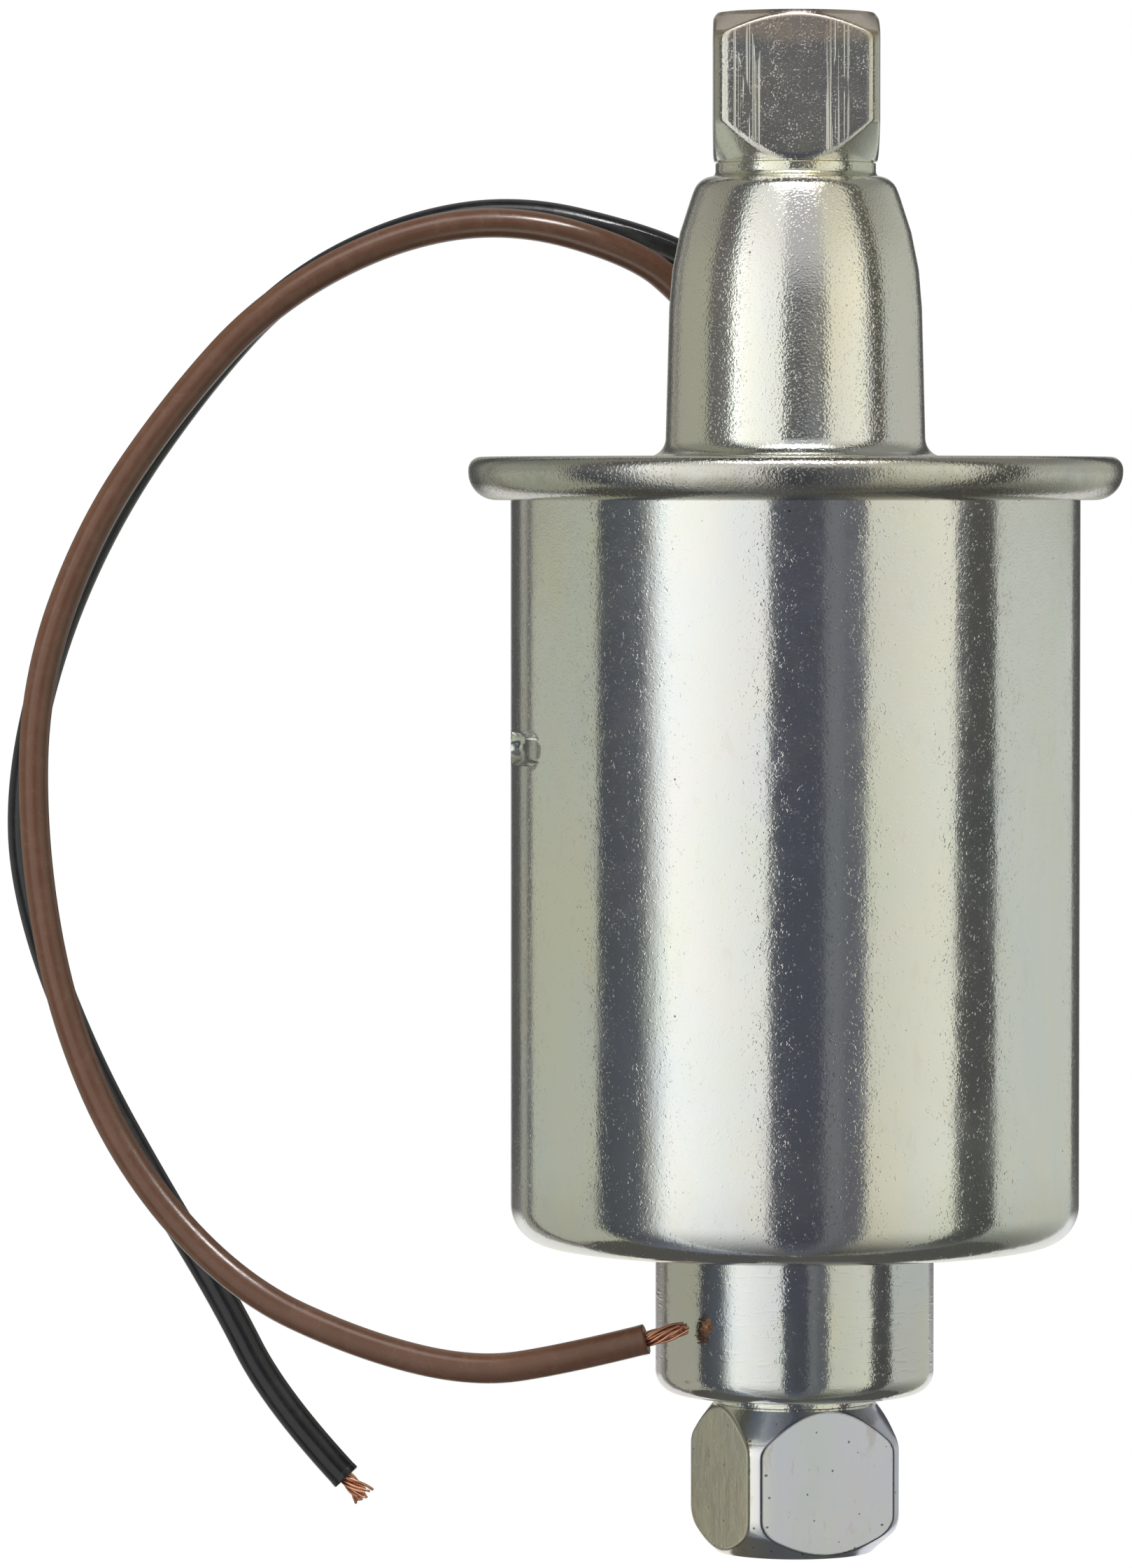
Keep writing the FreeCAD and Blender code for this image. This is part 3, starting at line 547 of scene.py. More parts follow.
@dataclass(frozen=True)
class ZincPlate:
    """Bright zinc plating over drawn or turned steel.

    The heights of the ripple, grain, hills, creases, nicks, pits and scratches are in
    thousandths of a millimetre.
    """

    name: str
    radius: float
    cast: Colour = (0.93, 0.93, 0.93)
    tint: float = 0.6
    roughness: float = 0.10
    haze: float = 0.05
    ripple: float = 6.0
    grain: float = 4.0
    hills: float = 0.0
    hills_per_mm: float = 5.0
    gather: float = 0.0
    creases: float = 0.0
    nick_share: float = 0.5
    nick_depth: float = 4.0
    pit_share: float = 0.04
    pit_depth: float = 20.0
    scratches: float = 0.0
    stains: float = 0.0
    # Share of the colour left along rounded edges, as painted shade.
    painted_edge_shade: float = 1.0
    zones: tuple[Zone, ...] = ()

    def _height(self, graph: Graph, effects: Effects, nicks: bpy.types.Node) -> bpy.types.NodeSocket:
        """Adds up the heights of everything that roughens the surface.

        Args:
            graph: The material's graph.
            effects: The shared node groups.
            nicks: The placed group of nicks and pits.

        Returns:
            The height in thousandths of a millimetre.
        """
        peel = effects.place(graph, effects.orange_peel, Ripple=self.ripple, Grain=self.grain,
                             Gather=self.gather, Creases=self.creases, Hills=self.hills,
                             Hills_per_mm=self.hills_per_mm)
        height = graph.maths("MULTIPLY_ADD", nicks.outputs["Nicks"], -self.nick_depth, peel.outputs[0])
        height = graph.maths("MULTIPLY_ADD", nicks.outputs["Pits"], -self.pit_depth, height)
        if self.scratches > 0:
            scratches = effects.place(graph, effects.scratches, Depth=self.scratches)
            height = graph.maths("SUBTRACT", height, scratches.outputs[0])
        return height

    def build(self, effects: Effects) -> bpy.types.Material:
        """Makes the material.

        Args:
            effects: The shared node groups.

        Returns:
            The material.
        """
        material, graph, shader = new_material(self.name)
        tint = effects.place(graph, effects.plating_tint, Strength=self.tint)
        smudge = effects.place(graph, effects.smudges)
        nicks = effects.place(graph, effects.nicks, Nick_share=self.nick_share, Pit_share=self.pit_share,
                              Radius=self.radius)
        colour = graph.blend(1.0, tint.outputs[0], (*self.cast, 1.0), "MULTIPLY")
        rough = graph.maths("MULTIPLY_ADD", smudge.outputs[0], self.haze, self.roughness)
        reach = effects.place(graph, effects.distances)
        for zone in self.zones:
            beyond = graph.maths("SUBTRACT", reach.outputs[zone.way.value], zone.start)
            share = graph.spread(graph.maths("DIVIDE", beyond, zone.step), 0.0, 1.0)
            colour = graph.blend(share, colour, (*zone.shade, 1.0), "MULTIPLY")
            rough = graph.maths("MULTIPLY_ADD", share, zone.roughness, rough)
        if self.stains > 0:
            stains = effects.place(graph, effects.stains, Share=self.stains)
            colour = graph.blend(stains.outputs[0], colour, (*STAIN, 1.0), "MULTIPLY")
        # Painted shade: darkens the colour along the rounded edges that the edge attribute marks.
        if self.painted_edge_shade < 1.0:
            edge = graph.add("ShaderNodeAttribute", attribute_name=EDGE_ATTRIBUTE).outputs["Fac"]
            shade = (self.painted_edge_shade, self.painted_edge_shade, self.painted_edge_shade, 1.0)
            colour = graph.blend(edge, colour, shade, "MULTIPLY")
        pits = graph.maths("MULTIPLY", nicks.outputs["Pits"], PIT_DARKNESS)
        colour = graph.blend(pits, colour, (*PIT_FLOOR, 1.0))
        height = self._height(graph, effects, nicks)
        graph.fill(shader, {"Base Color": colour, "Metallic": 1.0, "Roughness": rough,
                            "Normal": graph.bump(height, 0.001)})
        return material


@dataclass(frozen=True)
class Moulded:
    """Plastic, rubber or lacquer with a faint grain and uneven gloss."""

    name: str
    colour: Colour
    roughness: float = 0.4
    grain_per_mm: float = 3.0
    depth: float = 0.01
    variation: float = 0.25
    haze: float = 0.12

    def build(self, effects: Effects) -> bpy.types.Material:
        """Makes the material.

        Args:
            effects: The shared node groups.

        Returns:
            The material.
        """
        material, graph, shader = new_material(self.name)
        smudge = effects.place(graph, effects.smudges, Patches_per_mm=0.35).outputs[0]
        darker = tuple(part * (1 - self.variation) for part in self.colour)
        grain = graph.noise(graph.object_place(), self.grain_per_mm)
        graph.fill(shader, {
            "Base Color": graph.blend(smudge, (*self.colour, 1.0), (*darker, 1.0)),
            "Roughness": graph.maths("MULTIPLY_ADD", smudge, self.haze, self.roughness),
            "Normal": graph.bump(grain, self.depth)})
        return material


@dataclass(frozen=True)
class BareMetal:
    """Unplated metal of an inner piece or a bare strand."""

    name: str
    colour: Colour
    roughness: float = 0.3
    lines: float = 0.5
    line_depth: float = 0.01
    variation: float = 0.28
    haze: float = 0.15

    def build(self, effects: Effects) -> bpy.types.Material:
        """Makes the material.

        Args:
            effects: The shared node groups.

        Returns:
            The material.
        """
        material, graph, shader = new_material(self.name)
        smudge = effects.place(graph, effects.smudges, Patches_per_mm=0.6).outputs[0]
        lines = effects.place(graph, effects.fine_lines).outputs[0]
        darker = tuple(part * (1 - self.variation) for part in self.colour)
        graph.fill(shader, {
            "Base Color": graph.blend(smudge, (*self.colour, 1.0), (*darker, 1.0)),
            "Metallic": 1.0,
            "Roughness": graph.maths("MULTIPLY_ADD", smudge, self.haze, self.roughness),
            "Normal": graph.bump(lines, self.line_depth, self.lines)})
        return material


@dataclass(frozen=True)
class Insulation:
    """Extruded PVC of a lead, with faint lines along it and scuffs."""

    name: str
    colour: Colour
    worn: Colour
    roughness: float
    streaks: float = 0.2
    scuffs: float = 0.4
    haze: float = 0.2
    grain_per_mm: float = 1.6
    depth: float = 0.008

    def build(self, effects: Effects) -> bpy.types.Material:
        """Makes the material.

        Args:
            effects: The shared node groups.

        Returns:
            The material.
        """
        material, graph, shader = new_material(self.name)
        along = graph.add("ShaderNodeTexCoord").outputs["UV"]
        streak = graph.add("ShaderNodeMapping", {"Vector": along, "Scale": (3.0, 24.0, 1.0)})
        cloud = graph.add("ShaderNodeTexNoise", {
            "Vector": streak.outputs[0], "Scale": 4.0, "Detail": 4.0, "Roughness": 0.6}).outputs["Fac"]
        smudge = effects.place(graph, effects.smudges, Patches_per_mm=0.5).outputs[0]
        mask = graph.maths("MULTIPLY", graph.spread(cloud, 0.42, 0.75), self.streaks)
        mask = graph.maths("MULTIPLY_ADD", smudge, self.scuffs, mask)
        grain = graph.noise(graph.object_place(), self.grain_per_mm, 3.0)
        height = graph.maths("MULTIPLY_ADD", cloud, 0.5, grain)
        graph.fill(shader, {
            "Base Color": graph.blend(mask, (*self.colour, 1.0), (*self.worn, 1.0)),
            "Roughness": graph.maths("MULTIPLY_ADD", mask, self.haze, self.roughness),
            "Normal": graph.bump(height, self.depth)})
        return material


FINISHES = (
    ZincPlate(
        "plated_can", radius=24.7, ripple=9.0, grain=7.0, hills=55.0, hills_per_mm=4.0, gather=0.6,
        # painted shade: this zone darkens the can towards its bottom corner
        nick_share=0.10, stains=0.10, zones=(Zone(Way.UPWARD, 35.0, -8.0, (0.84, 0.84, 0.85)),)),
    ZincPlate(
        "plated_cover", radius=11.3, cast=(1.0, 0.98, 0.96), roughness=0.10, ripple=9.0, grain=18.0,
        hills=45.0, nick_share=0.0,
        zones=(Zone(Way.OUTWARD, 22.0, 1.0, (0.75, 0.75, 0.74), 0.05),
               # painted shade: the rim is darker over its lower half, which faces down
               Zone(Way.UPWARD, 94.2, -1.8, (0.78, 0.77, 0.73)))),
    ZincPlate(
        "plated_cup", radius=12.1, cast=(0.86, 0.86, 0.86), tint=0.9, roughness=0.11, ripple=12.0,
        grain=10.0, hills=45.0, hills_per_mm=4.0, gather=0.7, creases=11.0, nick_share=0.10,
        zones=(Zone(Way.RIGHTWARD, 1.0, 4.0, (0.92, 0.92, 0.94)),
               Zone(Way.RIGHTWARD, -6.0, -3.0, (0.84, 0.80, 0.80)))),
    ZincPlate(
        "plated_inlet_fitting", radius=8.0, cast=(0.90, 0.90, 0.90), tint=1.0, roughness=0.15,
        ripple=10.0, grain=3.0, hills=25.0, gather=1.0, nick_share=0.06, pit_share=0.75, stains=0.35,
        # painted shade along the fitting's rounded edges
        painted_edge_shade=0.3,
        zones=(Zone(Way.RIGHTWARD, -4.5, 3.0, (0.77, 0.79, 0.97)),
               Zone(Way.RIGHTWARD, -3.5, -1.0, (1.06, 0.98, 0.84)))),
    ZincPlate(
        "plated_outlet_fitting", radius=8.0, cast=(0.92, 0.91, 0.90), roughness=0.14, ripple=10.0,
        grain=12.0, hills=80.0, hills_per_mm=6.0, gather=0.6, nick_share=0.10, scratches=16.0,
        zones=(Zone(Way.OUTWARD, 9.32, 0.10, (0.78, 0.78, 0.76)),
               Zone(Way.UPWARD, 130.2, 1.2, (1.0, 0.90, 0.82), 0.08))),
    ZincPlate(
        "brazed_collar", radius=7.0, cast=(0.93, 0.92, 0.87), tint=1.0, roughness=0.12, ripple=18.0,
        grain=14.0, hills=60.0, creases=20.0, nick_share=0.0),
    Moulded("gasket", (0.05, 0.05, 0.05), 0.8),
    Moulded("nylon", (0.80, 0.77, 0.66), 0.45),
    BareMetal("screen_mesh", (0.55, 0.55, 0.53), 0.4),
    Moulded("magnet", (0.06, 0.06, 0.065), 0.6),
    BareMetal("tube_brass", (0.78, 0.60, 0.30), 0.25),
    BareMetal("soft_iron", (0.42, 0.42, 0.43), 0.42),
    BareMetal("enamelled_copper", (0.62, 0.26, 0.12), 0.3),
    Moulded("coil_tape", (0.66, 0.50, 0.16), 0.35),
    Moulded("valve_rubber", (0.025, 0.025, 0.025), 0.6),
    BareMetal("spring_steel", (0.58, 0.58, 0.59), 0.22),
    BareMetal("plunger_steel", (0.50, 0.50, 0.51), 0.25),
    BareMetal("sleeve_aluminium", (0.80, 0.80, 0.81), 0.3),
    Moulded("board_laminate", (0.38, 0.22, 0.07), 0.5),
    Moulded("component_black", (0.02, 0.02, 0.02), 0.5),
    Moulded("component_tan", (0.55, 0.38, 0.20), 0.35),
    Moulded("component_blue", (0.03, 0.07, 0.30), 0.3),
    BareMetal("solder", (0.72, 0.72, 0.73), 0.3),
    Moulded("grommet_rubber", (0.022, 0.022, 0.022), 0.55, 2.0, 0.03),
    Insulation("brown_insulation", (0.125, 0.057, 0.032), (0.180, 0.092, 0.058), 0.20),
    Insulation("black_insulation", (0.012, 0.012, 0.014), (0.026, 0.027, 0.030), 0.16),
    BareMetal("bare_copper", (0.86, 0.46, 0.30), 0.28, 0.3),
)


class Finisher:
    """Builds every finish once and puts them on pieces."""

    def __init__(self) -> None:
        """Builds the shared groups and the materials."""
        effects = Effects()
        self.materials = {finish.name: finish.build(effects) for finish in FINISHES}

    def dress(self, piece: bpy.types.Object, finish: str) -> None:
        """Puts a finish on a piece as its only one."""
        piece.data.materials.clear()
        piece.data.materials.append(self.materials[finish])

    def dress_nodes(self) -> None:
        """Gives every node of the construction model the finish of its slot."""
        for part in frame["record"]["subparts"]:
            self.dress(frame["nodes"][part["node"]], part["material_slot"])

    def fit(self, piece: bpy.types.Object, slot: str, *nodes: str, finish: str = "") -> None:
        """Dresses a piece and lets it ride on the pump's body.

        Args:
            piece: The piece.
            slot: Its slot in the construction model.
            nodes: The nodes of the construction model that it stands for.
            finish: Its finish, where that isn't its slot's own.
        """
        self.dress(piece, finish or slot)
        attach(piece, BODY)
        if nodes:
            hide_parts(*nodes)
        log.info("%s is fitted", piece.name)


# Meshes


def trace(shape: bmesh.types.BMesh, corners: list[Corner], closed: bool = True) -> None:
    """Draws an outline in the XZ plane, with each rounded corner turned as a true arc.

    Args:
        shape: The mesh that the outline goes into.
        corners: Radius, height and rounding of each corner.
        closed: Whether the last corner joins the first.
    """
    points = [Vector((r, 0, z)) for r, z, _ in corners]
    count = len(points)
    first = last = None
    for index, (_, _, rounding) in enumerate(corners):
        here = points[index]
        arc = None
        if rounding > 0:
            before = (points[index - 1] - here).normalized()
            after = (points[(index + 1) % count] - here).normalized()
            half = before.angle(after) / 2
            centre = here + (before + after).normalized() * (rounding / math.sin(half))
            turn = math.pi - 2 * half
            way = -1 if before.cross(after).y > 0 else 1
            start = here + before * (rounding / math.tan(half))
            arc = (centre, way * turn)
        else:
            start = here
        if last is None:
            last = first = shape.verts.new(start)
        else:
            last = bmesh.ops.extrude_vert_indiv(shape, verts=[last])["verts"][0]
            last.co = start
        if arc:
            steps = max(FEWEST_ARC_STEPS, math.ceil(math.degrees(abs(arc[1])) / ARC_STEP))
            swung = bmesh.ops.spin(shape, geom=[last], cent=arc[0], axis=(0, 1, 0), dvec=(0, 0, 0),
                                   angle=arc[1], steps=steps, use_merge=False, use_duplicate=False)
            last = swung["geom_last"][0]
    if closed:
        shape.edges.new((last, first))


def revolve(shape: bmesh.types.BMesh, steps: int, climb: float = 0.0) -> None:
    """Spins everything in the mesh a full turn round Z.

    Args:
        shape: The mesh, which holds the outline.
        steps: How many flats make up the turn.
        climb: How far it climbs in the turn, as a thread does.
    """
    bmesh.ops.spin(shape, geom=shape.verts[:] + shape.edges[:], cent=(0, 0, 0), axis=(0, 0, 1),
                   dvec=(0, 0, climb / steps), angle=2 * math.pi, steps=steps,
                   use_merge=climb == 0, use_duplicate=False)


def sheet(path: list[Corner], thickness: float, side: Side) -> list[Corner]:
    """Outline of bent sheet: a path and the same path set off by the thickness.

    Args:
        path: Radius, height and rounding of each corner along one face of the sheet.
        thickness: The sheet's thickness.
        side: Where the metal lies, seen along the path.

    Returns:
        The corners of the closed outline.
    """
    points = [Vector((r, z)) for r, z, _ in path]
    normals = []
    for start, end in zip(points, points[1:]):
        along = (end - start).normalized()
        normals.append(Vector((-along.y, along.x)) * side.value)
    back = []
    for index, (_, _, rounding) in enumerate(path):
        first = normals[max(index - 1, 0)]
        second = normals[min(index, len(normals) - 1)]
        moved = points[index] + (first + second) * (thickness / (1 + first.dot(second)))
        bend = (first.x * second.y - first.y * second.x) * side.value
        inside = rounding - thickness if bend > 0 else rounding + thickness
        back.append((moved.x, moved.y, max(inside, 0.0) if rounding > 0 else 0.0))
    return list(path) + back[::-1]


def add_object(name: str, data: bpy.types.ID) -> bpy.types.Object:
    """Puts an object with this data into the scene.

    Args:
        name: The object's name.
        data: Its mesh, curve, lamp or camera.

    Returns:
        The object, at the origin.
    """
    piece = bpy.data.objects.new(name, data)
    bpy.context.scene.collection.objects.link(piece)
    return piece


def to_mesh(shape: bmesh.types.BMesh, name: str) -> bpy.types.Mesh:
    """Turns a shape into a mesh.

    Args:
        shape: The shape, which is freed.
        name: The mesh's name.

    Returns:
        The mesh.
    """
    mesh = bpy.data.meshes.new(name)
    shape.to_mesh(mesh)
    shape.free()
    return mesh


def to_object(shape: bmesh.types.BMesh, name: str, sharp: float = 32.0) -> bpy.types.Object:
    """Turns a mesh in millimetres into a smooth shaded object in metres.

    Args:
        shape: The mesh, which is freed.
        name: The object's name.
        sharp: Angle in degrees above which an edge stays sharp.

    Returns:
        The object, at the origin.
    """
    bmesh.ops.remove_doubles(shape, verts=shape.verts[:], dist=WELD)
    bmesh.ops.recalc_face_normals(shape, faces=shape.faces[:])
    bmesh.ops.scale(shape, vec=(MM, MM, MM), verts=shape.verts[:])
    mesh = to_mesh(shape, name)
    mesh.shade_smooth()
    mesh.set_sharp_from_angle(angle=math.radians(sharp))
    return add_object(name, mesh)


def turned(name: str, corners: list[Corner], steps: int = 192) -> bpy.types.Object:
    """A closed turned piece from its outline.

    Args:
        name: The piece's name.
        corners: Radius, height and rounding of each corner.
        steps: How many flats make up a full turn.

    Returns:
        The piece.
    """
    shape = bmesh.new()
    trace(shape, corners)
    revolve(shape, steps)
    return to_object(shape, name)


def bottom_of(node: str) -> float:
    """Lowest height of a construction node, in millimetres."""
    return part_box(node)[0].z / MM


def top_of(node: str) -> float:
    """Greatest height of a construction node, in millimetres."""
    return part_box(node)[1].z / MM


# Housing


@dataclass
class Housing:
    """The can, the cover with its neck, and the inlet cup."""

    finisher: Finisher
    can_radius: float = 24.7
    can_sheet: float = 1.0
    can_corner: float = 3.4
    can_lip_bend: float = 0.35
    cover_sheet: float = 1.2
    rim_width: float = 3.68
    rim_upper_round: float = 1.13
    rim_lower_round: float = 2.42
    rim_hem_gap: float = 0.4
    neck_radius: float = 11.3
    neck_fillet: float = 1.65
    shoulder_radius: float = 10.82
    shoulder_height: float = 17.87
    shoulder_round: float = 29.0
    neck_top_radius: float = 8.35
    neck_top_round: float = 1.8
    neck_height: float = 24.25
    hole_radius: float = 5.55
    cup_radius: float = 12.1
    cup_sheet: float = 1.1
    cup_corner: float = 1.95
    cup_flange: float = 16.0
    cup_bend: float = 0.55
    cup_fit: float = 0.05
    dent_height: float = 43.15
    dent_angle: float = 194.6
    dent_half_width: float = 4.1
    dent_half_height: float = 0.85
    dent_slope: float = 0.65
    dent_depth: float = 0.8
    dent_band: float = 3.0
    band_slack: float = 0.01
    dent_cuts: int = 27
    wall_depth: float = 0.1
    can_turns: int = 400
    cover_turns: int = 256

    def build_can(self) -> None:
        """Makes the drawn can with its two pressed dents."""
        bottom = bottom_of("housing_can")
        lip = top_of("housing_can") - self.can_sheet
        middle = bottom + self.dent_height
        reach = self.dent_half_height + self.dent_slope * self.dent_band
        path = [
            (self.cup_radius + self.cup_bend + self.cup_fit, bottom, 0),
            (self.can_radius, bottom, self.can_corner),
            (self.can_radius, middle - reach, 0), (self.can_radius, middle + reach, 0),
            (self.can_radius, lip, self.can_lip_bend),
            (self.can_radius + self.rim_width - self.rim_lower_round, lip, 0),
        ]
        shape = bmesh.new()
        trace(shape, sheet(path, self.can_sheet, Side.LEFT))
        band = [edge for edge in shape.edges
                if all(abs(vert.co.z - middle) < reach + self.band_slack for vert in edge.verts)
                and all(vert.co.x > self.can_radius - self.wall_depth for vert in edge.verts)]
        bmesh.ops.subdivide_edges(shape, edges=band, cuts=self.dent_cuts)
        revolve(shape, self.can_turns)
        for angle in (self.dent_angle, self.dent_angle - 180):
            self._press(shape, math.radians(angle), middle)
        self.finisher.fit(to_object(shape, "housing_can_shell"), "plated_can", "housing_can")

    def _press(self, shape: bmesh.types.BMesh, angle: float, middle: float) -> None:
        """Presses one flat bottomed dent with round ends into the can's wall.

        Args:
            shape: The can's mesh.
            angle: Where the dent is round the axis, in radians.
            middle: The dent's height.
        """
        out = Vector((math.cos(angle), math.sin(angle), 0))
        along = Vector((-out.y, out.x, 0))
        for vert in shape.verts:
            radius = math.hypot(vert.co.x, vert.co.y)
            if vert.co.dot(out) < 0 or radius < self.can_radius - self.wall_depth:
                continue
            beside = max(0.0, abs(vert.co.dot(along)) - self.dent_half_width + self.dent_half_height)
            above = abs(vert.co.z - middle)
            away = max(0.0, math.hypot(beside, above) - self.dent_half_height) / self.dent_slope
            if away >= 1:
                continue
            share = 1 - away * away * (3 - 2 * away)
            vert.co -= out * (self.dent_depth * share)

    def build_cover(self) -> None:
        """Makes the cover: neck, plate and rim rolled over the can's lip."""
        plate = top_of("cover_gasket") + self.cover_sheet
        hem = bottom_of("top_cover")
        rim = self.can_radius + self.rim_width
        path = [
            (self.hole_radius, plate + self.neck_height, 0),
            (self.neck_top_radius, plate + self.neck_height, self.neck_top_round),
            (self.shoulder_radius, plate + self.shoulder_height, self.shoulder_round),
            (self.neck_radius, plate, self.neck_fillet),
            (rim, plate, self.rim_upper_round),
            (rim, hem, self.rim_lower_round),
            (self.can_radius + self.rim_hem_gap, hem, 0),
        ]
        piece = turned("top_cover_shell", sheet(path, self.cover_sheet, Side.RIGHT),
                       self.cover_turns)
        self.finisher.fit(piece, "plated_cover", "top_cover")

    def build_cup(self) -> None:
        """Makes the inlet cup under the can."""
        bottom = bottom_of("inlet_cup")
        flange = top_of("inlet_cup") - self.cup_sheet
        path = [
            (self.hole_radius, bottom, 0), (self.cup_radius, bottom, self.cup_corner),
            (self.cup_radius, flange, self.cup_bend), (self.cup_flange, flange, 0),
        ]
        piece = turned("inlet_cup_shell", sheet(path, self.cup_sheet, Side.LEFT))
        self.finisher.fit(piece, "plated_cup", "inlet_cup")

    def build(self) -> None:
        """Makes all three shells."""
        self.build_can()
        self.build_cover()
        self.build_cup()


# Port fittings


@dataclass
class PortFitting:
    """A square fitting turned at its corners, with a threaded port."""

    finisher: Finisher
    node: str
    slot: str
    turn: float
    end_bevel: float
    end_round: float
    back_round: float
    collar_height: float
    flare: float
    edge_round: float
    upward: bool
    across_flats: float = 14.29
    corner_radius: float = 9.53
    height: float = 12.8
    back_bevel: float = 3.2
    end_land: float = 0.35
    collar_radius: float = 6.95
    collar_groove: float = 0.2
    collar_edge: float = 0.06
    flare_round: float = 0.7
    spigot_radius: float = 5.5
    spigot_height: float = 2.0
    port_root: float = 4.95
    port_crest: float = 4.37
    port_depth: float = 9.6
    passage_radius: float = 2.9
    mouth_radius: float = 5.35
    thread_pitch: float = 0.94
    crest_start: float = 0.45
    crest_end: float = 0.55
    thread_turns: int = 96
    thread_sharp: float = 20.0
    collar_turns: int = 128
    mesh_step: float = 0.17
    mesh_turns: int = 384
    mesh_sharp: float = 25.0

    def _blank(self) -> bmesh.types.BMesh:
        """Turns the blank, before its flats are cut.

        Returns:
            The blank, standing on its end face.
        """
        half = self.across_flats / 2
        back = self.height - self.back_bevel
        collar = self.height + self.collar_height
        corners = [
            (self.mouth_radius, 0, 0), (half - self.end_land, 0, 0), (half, self.end_land, 0),
            (self.corner_radius, self.end_bevel, self.end_round),
            (self.corner_radius, back, self.back_round),
            (half, self.height, 0), (self.spigot_radius, self.height, 0),
            (self.spigot_radius, collar + self.spigot_height, 0),
            (self.passage_radius, collar + self.spigot_height, 0),
            (self.passage_radius, self.port_depth, 0), (self.port_root, self.port_depth, 0),
            (self.port_root, self.mouth_radius - self.port_root, 0),
        ]
        shape = bmesh.new()
        trace(shape, corners)
        for edge in list(shape.edges):
            if all(vert.co.x > half - self.end_land for vert in edge.verts):
                cuts = int(edge.calc_length() / self.mesh_step)
                bmesh.ops.subdivide_edges(shape, edges=[edge], cuts=cuts)
        revolve(shape, self.mesh_turns)
        return shape

    def _collar(self) -> bpy.types.Object:
        """Makes the collar behind the square, which flares into the braze on the sheet metal.

        Returns:
            The collar.
        """
        top = self.height + self.collar_height
        groove = self.collar_radius - self.collar_groove
        inner = self.spigot_radius - self.collar_groove
        corners = [
            (inner, self.height - self.collar_groove, 0), (groove, self.height - self.collar_groove, 0),
            (groove, self.height + self.collar_groove / 2, 0),
            (self.collar_radius, self.height + self.collar_groove, self.collar_edge),
            (self.collar_radius, top, self.flare * self.flare_round),
            (self.collar_radius + self.flare, top + self.flare / 3, 0), (inner, top + self.flare / 3, 0),
        ]
        return turned(self.node + "_collar", corners, self.collar_turns)

    def _place(self) -> Matrix:
        """Where the fitting goes, from standing on its end face at the origin.

        Returns:
            The move and the turn.
        """
        if not self.upward:
            return Matrix.Rotation(math.radians(self.turn), 4, "Z")
        top = Matrix.Translation((0, 0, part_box(self.node)[1].z))
        return top @ Matrix.Rotation(math.pi, 4, "Y") @ Matrix.Rotation(math.radians(-self.turn), 4, "Z")

    def _cut_flats(self, shape: bmesh.types.BMesh) -> list[float]:
        """Cuts the four flats into the turned blank, with a soft edge round each.

        Args:
            shape: The blank, whose outer points are drawn in to the flats.

        Returns:
            How much of an edge each point lies on, from 0 to 1.
        """
        marks = []
        half = self.across_flats / 2
        for vert in shape.verts:
            radius = math.hypot(vert.co.x, vert.co.y)
            flat = radius * half / max(abs(vert.co.x), abs(vert.co.y))
            share = min(1.0, max(0.0, 0.5 + (flat - radius) / (2 * self.edge_round)))
            soft = share * (1 - share)
            drawn = flat + (radius - flat) * share - self.edge_round * soft
            marks.append(4 * soft)
            vert.co.x *= drawn / radius
            vert.co.y *= drawn / radius
        return marks

    def _thread(self) -> bpy.types.Object:
        """Cuts the port's inner thread, one pitch of climb to each turn.

        Returns:
            The thread.
        """
        shape = bmesh.new()
        turns = int((self.port_depth - self.end_land) / self.thread_pitch)
        corners = []
        for index in range(turns):
            low = self.end_land + index * self.thread_pitch
            corners.append((self.port_root, low, 0))
            for share in (self.crest_start, self.crest_end):
                corners.append((self.port_crest, low + self.thread_pitch * share, 0))
        corners.append((self.port_root, self.end_land + turns * self.thread_pitch, 0))
        trace(shape, corners, closed=False)
        revolve(shape, self.thread_turns, self.thread_pitch)
        return to_object(shape, self.node + "_thread", self.thread_sharp)

    def build(self) -> None:
        """Makes the fitting and its thread."""
        blank = self._blank()
        marks = self._cut_flats(blank)
        body = to_object(blank, self.node + "_body", self.mesh_sharp)
        # The edge share marks where the finish paints shade along the rounded edges.
        edge = body.data.attributes.new(EDGE_ATTRIBUTE, "FLOAT", "POINT")
        edge.data.foreach_set("value", marks)
        pieces = ((body, self.slot, (self.node,)), (self._collar(), "brazed_collar", ()),
                  (self._thread(), self.slot, ()))
        for piece, finish, nodes in pieces:
            piece.data.transform(self._place())
            self.finisher.fit(piece, self.slot, *nodes, finish=finish)


# Leads


WIRE_ORDER = 3
WIRE_STEPS = 12


